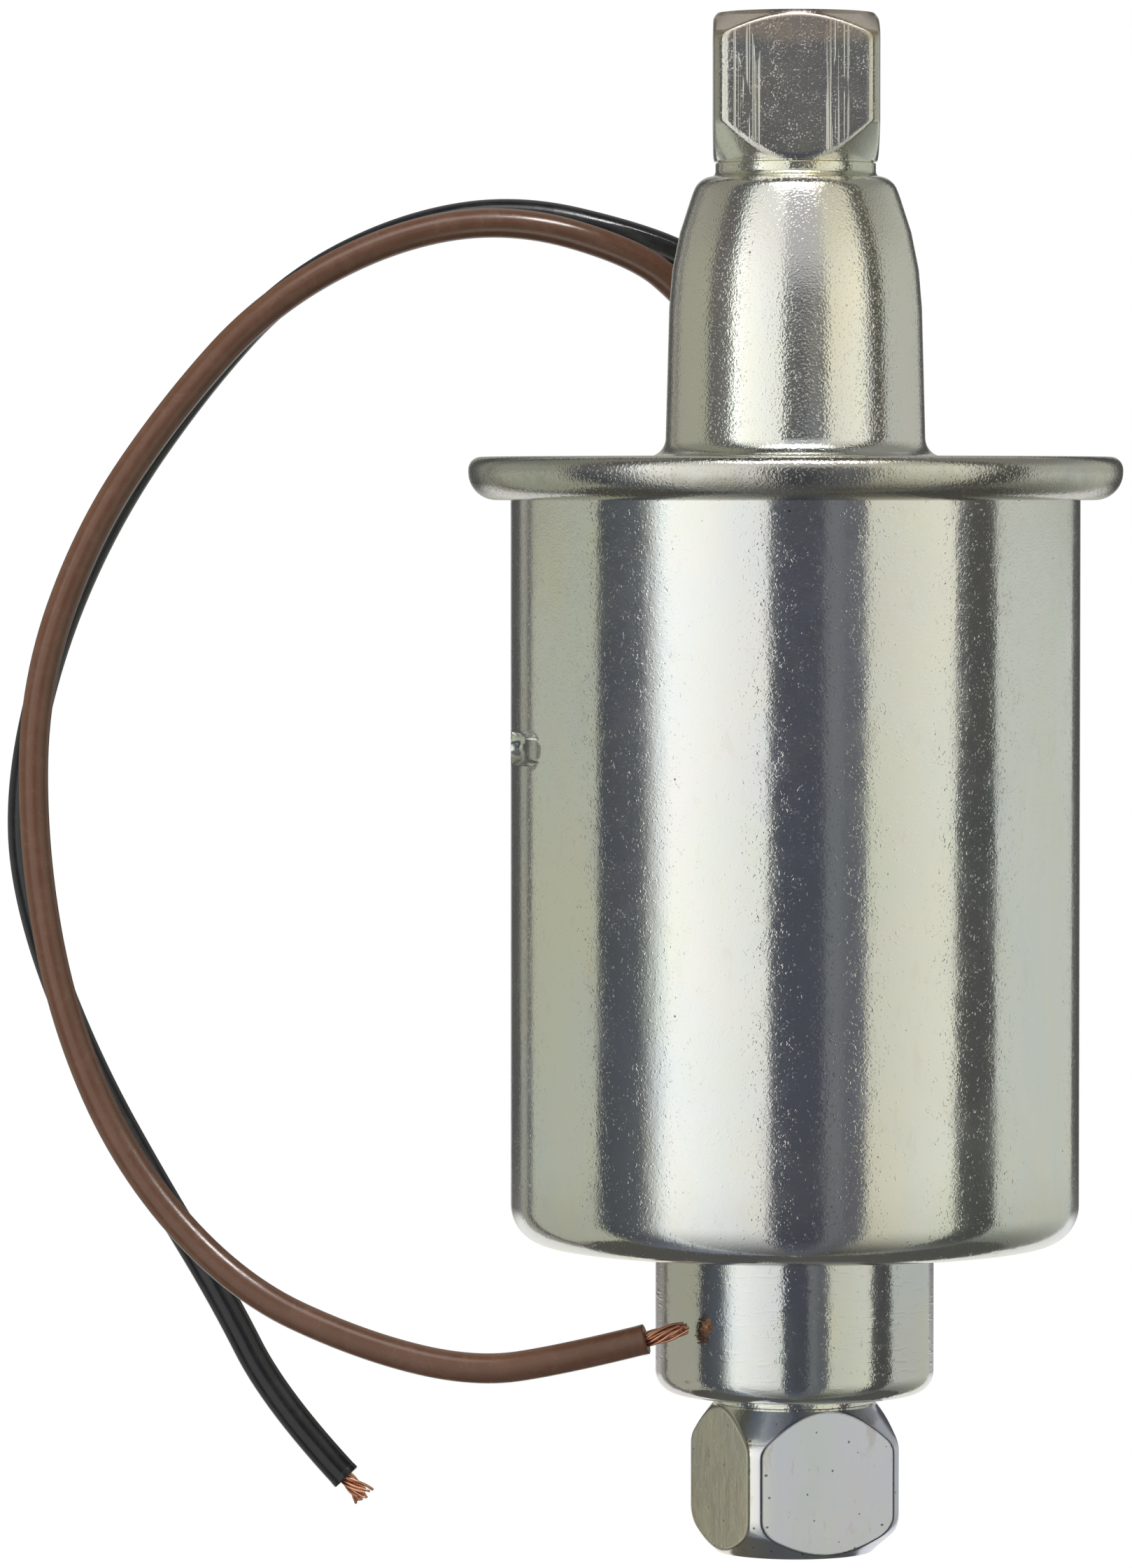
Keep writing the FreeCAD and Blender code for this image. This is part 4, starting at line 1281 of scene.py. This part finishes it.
@dataclass
class Lead:
    """One PVC lead with its cut end and its bare strands."""

    finisher: Finisher
    colour: str
    route: list[Place]
    length: float
    strand_length: float
    bulge: float
    fan: float
    seed: int
    diameter: float = 2.6
    roundness: int = 8
    cut_face: float = 0.25
    cut_overlap: float = 0.35
    cut_lip: float = 0.03
    cut_inner_round: float = 0.08
    cut_outer_round: float = 0.12
    cut_back_round: float = 0.05
    cut_turns: int = 32
    hole_gap: float = 0.12
    bundle_radius: float = 0.52
    bundle_fill: float = 0.9
    strand_count: int = 16
    strand_reach: tuple[float, float] = (0.78, 1.04)
    strand_stray: tuple[float, float] = (-0.16, 0.22)
    strand_radius: float = 0.125
    strand_roundness: int = 2
    strand_root: float = 0.4
    strand_steps: int = 6
    strand_turn: float = 2.4
    strand_twist: float = 2.2

    @staticmethod
    def _wires(name: str, paths: list[list[Vector]], radius: float, roundness: int) -> bpy.types.Object:
        """Makes round wires along paths, as one object.

        Args:
            name: The object's name.
            paths: The control points of each wire, in millimetres.
            radius: The wires' radius.
            roundness: How finely a wire's section is rounded.

        Returns:
            The object.
        """
        data = bpy.data.curves.new(name, "CURVE")
        data.dimensions = "3D"
        for path in paths:
            spline = data.splines.new("NURBS")
            spline.points.add(len(path) - 1)
            for point, place in zip(spline.points, path):
                point.co = (*(place * MM), 1.0)
            spline.order_u = WIRE_ORDER
            spline.use_endpoint_u = True
            spline.resolution_u = WIRE_STEPS
        data.bevel_depth = radius * MM
        data.bevel_resolution = roundness
        data.use_fill_caps = True
        return add_object(name, data)

    def _end(self) -> tuple[Vector, Vector, Vector, Vector]:
        """Where and how the lead ends.

        Returns:
            Its end point, its direction there and two directions across it.
        """
        end = Vector(self.route[-1])
        along = (end - Vector(self.route[-2])).normalized()
        across = along.cross(Vector((0, 0, 1))).normalized()
        return end, along, across, across.cross(along)

    def _cut_end(self) -> bpy.types.Object:
        """Makes the insulation's cut face, a slightly rolled edge round the conductor's hole.

        Returns:
            The cut face.
        """
        outer = self.diameter / 2
        inner = self.bundle_radius + self.hole_gap
        back = -self.cut_overlap
        corners = [
            (inner, self.cut_face, self.cut_inner_round),
            (outer + self.cut_lip, self.cut_face - self.cut_lip, self.cut_outer_round),
            (outer + self.cut_lip / 3, back, self.cut_back_round), (inner, back, 0),
        ]
        shape = bmesh.new()
        trace(shape, corners)
        revolve(shape, self.cut_turns)
        end, along, _, _ = self._end()
        turn = along.to_track_quat("Z", "Y").to_matrix().to_4x4()
        bmesh.ops.transform(shape, matrix=Matrix.Translation(end) @ turn, verts=shape.verts[:])
        return to_object(shape, f"lead_{self.colour}_cut_end")

    def _strands(self) -> bpy.types.Object:
        """Makes the fine copper strands, lightly twisted and splayed towards their ends.

        Returns:
            The strands.
        """
        dice = random.Random(self.seed)
        end, along, across, upward = self._end()
        paths = []
        for index in range(self.strand_count):
            angle = index * self.strand_turn
            radius = self.bundle_radius * math.sqrt((index + 0.5) / self.strand_count) * self.bundle_fill
            reach = self.strand_length * dice.uniform(*self.strand_reach)
            stray = dice.uniform(*self.strand_stray)
            path = []
            for step in range(self.strand_steps + 1):
                share = step / self.strand_steps
                twist = angle + share * self.strand_twist
                swell = self.bulge * math.sin(math.pi * share) + self.fan * share * share
                out = radius * (1 + swell) + stray * share * share
                place = end + along * (reach * share - self.strand_root)
                path.append(place + (across * math.cos(twist) + upward * math.sin(twist)) * out)
            paths.append(path)
        return self._wires(f"lead_{self.colour}_copper", paths, self.strand_radius,
                           self.strand_roundness)

    def build(self) -> list[bpy.types.Object]:
        """Returns:
            The three pieces.
        """
        node = f"lead_{self.colour}"
        slot = f"{self.colour}_insulation"
        points = [Vector(point) for point in self.route]
        cable = self._wires(node + "_insulation", [points], self.diameter / 2, self.roundness)
        cut_end = self._cut_end()
        strands = self._strands()
        cable.visible_glossy = False
        self.finisher.fit(cable, slot, node)
        self.finisher.fit(cut_end, slot)
        self.finisher.fit(strands, "bare_copper", node + "_strands")
        return [cable, cut_end, strands]


BROWN_ROUTE = [
    (-5.5, 17.6, 97.35), (-5.5, 17.6, 101.75), (-6.8, 17.2, 105.95), (-9.2, 16.5, 109.55),
    (-13.7, 15.1, 113.25), (-24.6, 12.4, 116.35), (-35.3, 10.6, 114.65), (-46.2, 8.6, 108.65),
    (-54.4, 6.9, 99.45), (-61.6, 5.4, 88.75), (-66.3, 3.7, 75.45), (-66.4, 1.9, 61.05),
    (-63.7, 0.1, 46.45), (-57.9, -2.0, 33.55), (-48.4, -4.1, 23.25), (-37.6, -6.0, 18.45),
    (-27.8, -7.6, 16.25), (-20.0, -8.7, 17.55), (-13.2, -9.6, 19.35),
]
BLACK_ROUTE = [
    (-1.6, 18.9, 97.35), (-1.6, 18.9, 102.85), (-3.8, 18.5, 108.35), (-7.8, 17.8, 112.35),
    (-13.8, 16.8, 114.85), (-24.4, 15.4, 117.25), (-34.6, 14.0, 115.45), (-44.6, 12.6, 110.15),
    (-52.4, 11.4, 101.45), (-60.0, 10.2, 90.45), (-65.4, 9.0, 78.05), (-68.1, 7.8, 64.85),
    (-66.7, 6.6, 54.45), (-61.8, 5.2, 42.05), (-55.6, 3.8, 31.05), (-50.0, 2.6, 22.05),
    (-45.3, 1.7, 12.85), (-39.2, 0.9, 6.35),
]


# Grommet


@dataclass
class Grommet:
    """Rubber grommet in the cover plate, where the leads come out."""

    finisher: Finisher
    crown_radius: float = 5.0
    crown_round: float = 1.0
    crown_flat: float = 2.6
    crown_flat_round: float = 0.5
    crown_fall: float = 0.3
    crown_dip: float = 0.25
    neck_radius: float = 3.9
    foot_radius: float = 4.5
    foot_round: float = 0.4
    hole_radius: float = 0.2
    plate_over_hem: float = 3.75
    plate_sheet: float = 1.2
    turns: int = 64

    def build(self) -> None:
        """Makes the grommet as a turned piece on its own axis."""
        low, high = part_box("lead_grommet")
        centre = (low + high) / 2
        plate = bottom_of("top_cover") + self.plate_over_hem
        under = plate - self.plate_sheet
        top = high.z / MM
        bottom = low.z / MM
        corners = [
            (self.hole_radius, top - self.crown_dip, 0), (self.crown_flat, top, self.crown_flat_round),
            (self.crown_radius, top - self.crown_fall, self.crown_round),
            (self.crown_radius, plate, 0), (self.neck_radius, plate, 0), (self.neck_radius, under, 0),
            (self.foot_radius, under, 0), (self.foot_radius, bottom, self.foot_round),
            (self.hole_radius, bottom, 0),
        ]
        piece = turned("lead_grommet_rubber", corners, self.turns)
        piece.data.transform(Matrix.Translation((centre.x, centre.y, 0)))
        self.finisher.fit(piece, "grommet_rubber", "lead_grommet")


# Studio


@dataclass(frozen=True)
class Card:
    """One panel of the light tent round the pump, which shows in its plating.

    It spans two angles round the pump in degrees, from the front. Its brightness runs from
    one value at its start to another at its end, and changes to others at its top and foot.
    Above the pump's rim its colour is multiplied by its upper colour.
    """

    name: str
    start: float
    end: float
    first: float
    last: float
    colour: Colour = (1.0, 1.0, 1.0)
    top: float = 0.10
    top_from: float = 12.0
    top_to: float = 45.0
    foot: float = 0.33
    foot_from: float = -35.0
    foot_to: float = -88.0
    upper: Colour = (1.0, 1.0, 1.0)


CARDS = (
    Card("left_wall", -133.0, -86.5, 0.48, 0.50, (0.97, 1.0, 0.84), top=0.33, top_to=40.0, foot=0.36,
         upper=(0.76, 0.74, 0.74)),
    Card("left_flag", -86.5, -65.0, 0.080, 0.11, (0.88, 0.98, 1.18), top=0.07, upper=(1.7, 1.5, 1.3)),
    Card("left_falloff", -65.0, -53.0, 0.16, 1.02, (0.95, 1.0, 1.0), top=0.2, top_to=60.0,
         upper=(1.6, 1.6, 1.6)),
    Card("left_soft_light", -53.0, -11.7, 1.12, 0.90, (1.0, 1.0, 0.97), top=0.70, top_to=60.0,
         foot=0.13, foot_from=0.0),
    Card("middle_flag", -11.7, 10.0, 0.078, 0.078, (0.90, 0.97, 1.26), top=0.34, top_from=9.0,
         top_to=24.0, foot=0.13, upper=(1.55, 1.45, 1.16)),
    Card("middle_gap", 10.0, 17.0, 0.18, 0.18, (0.95, 1.0, 1.12), top=0.46, top_from=9.0, top_to=24.0,
         foot=0.13, upper=(1.1, 1.05, 0.95)),
    Card("middle_right_flag", 17.0, 26.5, 0.13, 0.13, (0.95, 0.98, 1.20), top=0.38, top_from=9.0,
         top_to=24.0, foot=0.13, upper=(1.35, 1.3, 1.05)),
    Card("right_soft_light", 26.5, 65.0, 0.68, 0.80, (1.0, 1.0, 0.86), top=0.40, top_to=60.0, foot=0.10,
         foot_from=-10.0, foot_to=-78.0, upper=(1.12, 1.1, 1.1)),
    Card("right_flag_edge", 65.0, 70.0, 0.085, 0.085, (0.97, 1.0, 1.0), top=0.02, upper=(6.0, 6.0, 6.0)),
    Card("right_flag", 70.0, 85.0, 0.080, 0.080, (0.99, 1.0, 0.97), upper=(1.2, 1.15, 1.0)),
    Card("right_wall", 85.0, 147.0, 0.63, 0.60, (0.96, 1.0, 0.91), top=0.31, top_to=40.0, foot=0.22,
         foot_from=-6.0, foot_to=-45.0, upper=(0.82, 0.80, 0.80)),
    Card("right_edge", 147.0, 168.0, 0.10, 0.07, top=0.45, top_from=25.0, foot=0.9, foot_from=-8.0,
         foot_to=-16.0),
    Card("back", 168.0, 192.0, 0.45, 0.45, (1.0, 1.0, 0.9), top=0.45, foot=0.9, foot_from=-8.0,
         foot_to=-16.0),
    Card("left_edge", -168.0, -147.0, 0.09, 0.09, top=0.45, top_from=25.0, foot=0.9, foot_from=-8.0,
         foot_to=-16.0),
    Card("left_edge_gap", -147.0, -138.5, 0.34, 0.34, (1.0, 1.0, 0.88)),
    Card("left_seam", -138.5, -133.0, 0.14, 0.14),
)

LIT_HEIGHT = 0.07


@dataclass(frozen=True)
class Lamp:
    """A round soft lamp that points at the pump: its place and diameter in metres, and its watts."""

    name: str
    place: Place
    size: float
    power: float

    def hang(self) -> bpy.types.Object:
        """Hangs the lamp, unseen by the camera.

        Returns:
            The lamp.
        """
        data = bpy.data.lights.new(self.name, "AREA")
        data.shape = "DISK"
        data.size = self.size
        data.energy = self.power
        lamp = add_object(self.name, data)
        lamp.location = self.place
        aim = Vector((0, 0, LIT_HEIGHT)) - Vector(self.place)
        lamp.rotation_euler = aim.to_track_quat("-Z", "Y").to_euler()
        lamp.visible_camera = False
        return lamp


OVERHEAD_LIGHT = Lamp("overhead_light", (0.05, -0.35, 0.95), 0.40, 3.0)
LEFT_KEY_LIGHT = Lamp("left_key_light", (-0.75, -0.55, 0.55), 0.35, 5.0)
LEAD_GLINT = Lamp("lead_glint", (0.22, -0.22, 0.485), 0.13, 1.6)


@dataclass
class Studio:
    """Floor, light tent, lamps, world and camera, in metres."""

    camera_distance: float = 0.700
    camera_height: float = 0.09225
    camera_side: float = -0.0199
    camera_nearest: float = 0.01
    camera_sensor: float = 36.0
    aim_height: float = 0.06675
    metres_per_pixel: float = 0.0000607
    floor_drop: float = 0.62
    floor_radius: float = 3.0
    floor_sides: int = 64
    floor_grey: float = 0.9
    floor_roughness: float = 0.9
    floor_glow: float = 0.55
    world_light: float = 0.45
    tent_radius: float = 0.60
    tent_centre: float = 0.07
    tent_reach: float = 88.0
    tent_rows: int = 40
    upper_from: tuple[float, float] = (-0.3, 0.7)
    card_columns: int = 16
    roof_light: float = 1.7
    roof_side: tuple[float, float] = (0.28, 0.50)
    roof_front: tuple[float, float] = (0.80, 1.00)
    roof_back: tuple[float, float] = (0.25, 0.40)
    roof_lowest: float = 0.01
    roof_level: float = 0.07
    roof_from: float = 64.0
    roof_to: float = 78.0
    ground_level: float = 0.10
    ground_radius: float = 0.40
    ground_sides: int = 48
    ground_drop: float = 0.38
    ground_edge: float = -0.02

    def _roof_light(self, graph: Graph, parts: list[bpy.types.NodeSocket]) -> bpy.types.NodeSocket:
        """Brightness of the soft light in the tent's roof, over and before the pump.

        Args:
            graph: The panel's graph.
            parts: The place on the panel, from the tent's centre.

        Returns:
            The brightness.
        """
        height = graph.maths("MAXIMUM", parts[2], self.roof_lowest)
        side = graph.maths("ABSOLUTE", graph.maths("DIVIDE", parts[0], height))
        ahead = graph.maths("MULTIPLY", graph.maths("DIVIDE", parts[1], height), -1.0)
        lit = graph.maths("MULTIPLY", graph.spread(side, *self.roof_side, 1.0, 0.0),
                          graph.spread(ahead, *self.roof_front, 1.0, 0.0))
        lit = graph.maths("MULTIPLY", lit, graph.spread(ahead, *self.roof_back))
        return graph.maths("MULTIPLY", lit, self.roof_light)

    def _glow(self, card: Card) -> bpy.types.Material:
        """Makes a panel's glow, from its start to its end and from its foot to its top.

        Args:
            card: The panel.

        Returns:
            The material.
        """
        material = bpy.data.materials.new(card.name)
        material.use_nodes = True
        graph = Graph(material.node_tree)
        place = graph.vector("SUBTRACT", {0: graph.object_place(), 1: (0, 0, self.tent_centre)})
        middle = math.radians((card.start + card.end) / 2)
        forward = graph.add("ShaderNodeVectorRotate", {"Vector": place, "Angle": -middle},
                            rotation_type="Z_AXIS").outputs[0]
        parts = graph.split(forward)
        angle = graph.maths("ARCTAN2", parts[0], graph.maths("MULTIPLY", parts[1], -1.0))
        half = math.radians((card.end - card.start) / 2)
        level = graph.spread(angle, -half, half, card.first, card.last)
        rise = graph.maths("DIVIDE", parts[2], self.tent_radius)
        lift = graph.maths("DEGREES", graph.maths("ARCSINE", rise))
        for value, near, far in ((card.top, card.top_from, card.top_to),
                                 (card.foot, card.foot_from, card.foot_to),
                                 (self.roof_level, self.roof_from, self.roof_to)):
            share = graph.spread(lift, near, far)
            level = graph.maths("MULTIPLY_ADD", share, graph.maths("SUBTRACT", value, level), level)
        level = graph.maths("ADD", level, self._roof_light(graph, graph.split(place)))
        upper = [base * factor for base, factor in zip(card.colour, card.upper)]
        share = graph.spread(lift, *self.upper_from)
        colour = graph.blend(share, (*card.colour, 1.0), (*upper, 1.0))
        glow = graph.add("ShaderNodeEmission", {"Color": colour, "Strength": level})
        graph.add("ShaderNodeOutputMaterial", {"Surface": glow.outputs[0]})
        return material

    def _stand(self, shape: bmesh.types.BMesh, card: Card) -> None:
        """Puts a panel in the studio, seen only in reflections.

        Args:
            shape: The panel's shape.
            card: What it glows like.
        """
        piece = add_object(card.name, to_mesh(shape, card.name))
        piece.data.materials.append(self._glow(card))
        piece.visible_camera = False
        piece.visible_diffuse = False
        piece.visible_shadow = False

    def _build_card(self, card: Card) -> None:
        """Hangs one panel of the tent, a slice of one big ball.

        Args:
            card: The panel.
        """
        centre = (0, 0, self.tent_centre)
        shape = bmesh.new()
        shape.verts.new((0, -self.tent_radius, self.tent_centre))
        turn = Matrix.Rotation(math.radians(self.tent_reach), 3, "X")
        bmesh.ops.rotate(shape, cent=centre, matrix=turn, verts=shape.verts[:])
        bmesh.ops.spin(shape, geom=shape.verts[:], cent=centre, axis=(1, 0, 0), dvec=(0, 0, 0),
                       angle=-math.radians(2 * self.tent_reach), steps=self.tent_rows,
                       use_merge=False, use_duplicate=False)
        start = Matrix.Rotation(math.radians(card.start), 3, "Z")
        bmesh.ops.rotate(shape, cent=(0, 0, 0), matrix=start, verts=shape.verts[:])
        bmesh.ops.spin(shape, geom=shape.verts[:] + shape.edges[:], cent=(0, 0, 0), axis=(0, 0, 1),
                       dvec=(0, 0, 0), angle=math.radians(card.end - card.start),
                       steps=self.card_columns, use_merge=False, use_duplicate=False)
        self._stand(shape, card)

    def build_tent(self) -> None:
        """Hangs the panels round the pump and lays a dark sheet behind it, under the can."""
        for card in CARDS:
            self._build_card(card)
        # Painted shade: a dark sheet under the pump, seen only in reflections, stands for the shade below
        # it.
        ground = bmesh.new()
        bmesh.ops.create_circle(ground, cap_ends=True, segments=self.ground_sides,
                                radius=self.ground_radius)
        bmesh.ops.translate(ground, vec=(0, 0, self.tent_centre - self.ground_drop), verts=ground.verts[:])
        bmesh.ops.bisect_plane(ground, geom=ground.verts[:] + ground.edges[:] + ground.faces[:],
                               plane_co=(0, self.ground_edge, 0), plane_no=(0, -1, 0), clear_outer=True)
        self._stand(ground, Card("ground_flag", 90.0, 270.0, self.ground_level, self.ground_level,
                                 (1.0, 1.0, 0.93), foot=self.ground_level))

    def build_floor(self) -> None:
        """Lays a pale floor well below the pump."""
        shape = bmesh.new()
        bmesh.ops.create_circle(shape, cap_ends=True, segments=self.floor_sides,
                                radius=self.floor_radius)
        bmesh.ops.translate(shape, vec=(0, 0, -self.floor_drop), verts=shape.verts[:])
        floor = add_object("floor", to_mesh(shape, "floor"))
        material, graph, shader = new_material("pale_floor")
        rays = graph.add("ShaderNodeLightPath").outputs
        seen = graph.maths("MAXIMUM", rays["Is Camera Ray"], rays["Is Glossy Ray"])
        graph.fill(shader, {
            "Base Color": (self.floor_grey, self.floor_grey, self.floor_grey, 1.0),
            "Roughness": self.floor_roughness,
            "Emission Strength": graph.maths("MULTIPLY", seen, self.floor_glow)})
        floor.data.materials.append(material)

    def build_world(self) -> None:
        """Soft grey light from everywhere, which the camera and mirrors see as plain white."""
        world = bpy.data.worlds.new("studio_world")
        world.use_nodes = True
        bpy.context.scene.world = world
        graph = Graph(world.node_tree)
        rays = graph.add("ShaderNodeLightPath").outputs
        seen = graph.maths("MAXIMUM", rays["Is Camera Ray"], rays["Is Glossy Ray"])
        seen = graph.maths("MAXIMUM", seen, rays["Is Transmission Ray"])
        strength = graph.spread(seen, 0.0, 1.0, self.world_light, 1.0)
        back = graph.add("ShaderNodeBackground", {"Color": (1.0, 1.0, 1.0, 1.0), "Strength": strength})
        graph.add("ShaderNodeOutputWorld", {"Surface": back.outputs[0]})

    def build_lamps(self) -> None:
        """Hangs a soft key light up to the left and a weaker one overhead."""
        for lamp in (OVERHEAD_LIGHT, LEFT_KEY_LIGHT):
            lamp.hang().visible_glossy = False

    def light_leads(self, leads: list[bpy.types.Object]) -> None:
        """Hangs a small lamp up in front that only glints on the leads.

        Args:
            leads: The objects that it lights.
        """
        lamp = LEAD_GLINT.hang()
        lamp.visible_diffuse = False
        lit = bpy.data.collections.new("lit_by_lead_glint")
        for piece in leads:
            lit.objects.link(piece)
        lamp.light_linking.receiver_collection = lit

    def build_camera(self) -> None:
        """Sets the camera where the photograph was taken from."""
        data = bpy.data.cameras.new("photo_camera")
        drop = self.camera_height - self.aim_height
        pitch = math.atan2(drop, self.camera_distance)
        focal_pixels = self.camera_distance / self.metres_per_pixel * math.cos(pitch)
        data.sensor_fit = "VERTICAL"
        data.sensor_height = self.camera_sensor
        data.lens = focal_pixels / PHOTO_HEIGHT * self.camera_sensor
        data.clip_start = self.camera_nearest
        camera = add_object("photo_camera", data)
        camera.location = (self.camera_side, -self.camera_distance, self.camera_height)
        camera.rotation_euler = (math.pi / 2 - pitch, 0, 0)
        bpy.context.scene.camera = camera

    def build(self) -> None:
        """Makes the whole studio."""
        self.build_camera()
        self.build_floor()
        self.build_tent()
        self.build_world()
        self.build_lamps()
        bpy.context.scene.view_settings.view_transform = "Standard"


def main() -> None:
    """Builds the studio and every piece of the pump."""
    logging.basicConfig(level=logging.INFO, format="%(name)s %(message)s")
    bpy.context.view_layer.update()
    studio = Studio()
    studio.build()
    finisher = Finisher()
    finisher.dress_nodes()
    Housing(finisher).build()
    PortFitting(finisher, "inlet_fitting", "plated_inlet_fitting", turn=22.3, end_bevel=2.4,
                end_round=2.6, back_round=2.2, collar_height=1.0, flare=0.4, edge_round=0.12,
                upward=False).build()
    PortFitting(finisher, "outlet_fitting", "plated_outlet_fitting", turn=-0.5, end_bevel=2.0,
                end_round=0.9, back_round=0.6, collar_height=1.3, flare=1.0, edge_round=0.34,
                upward=True).build()
    Grommet(finisher).build()
    brown = Lead(finisher, "brown", BROWN_ROUTE, length=188.0, strand_length=4.3, bulge=0.55, fan=0.1,
                 seed=4)
    black = Lead(finisher, "black", BLACK_ROUTE, length=174.6, strand_length=3.1, bulge=0.2, fan=1.0,
                 seed=9)
    studio.light_leads(brown.build() + black.build())


if __name__ == "__main__":
    main()
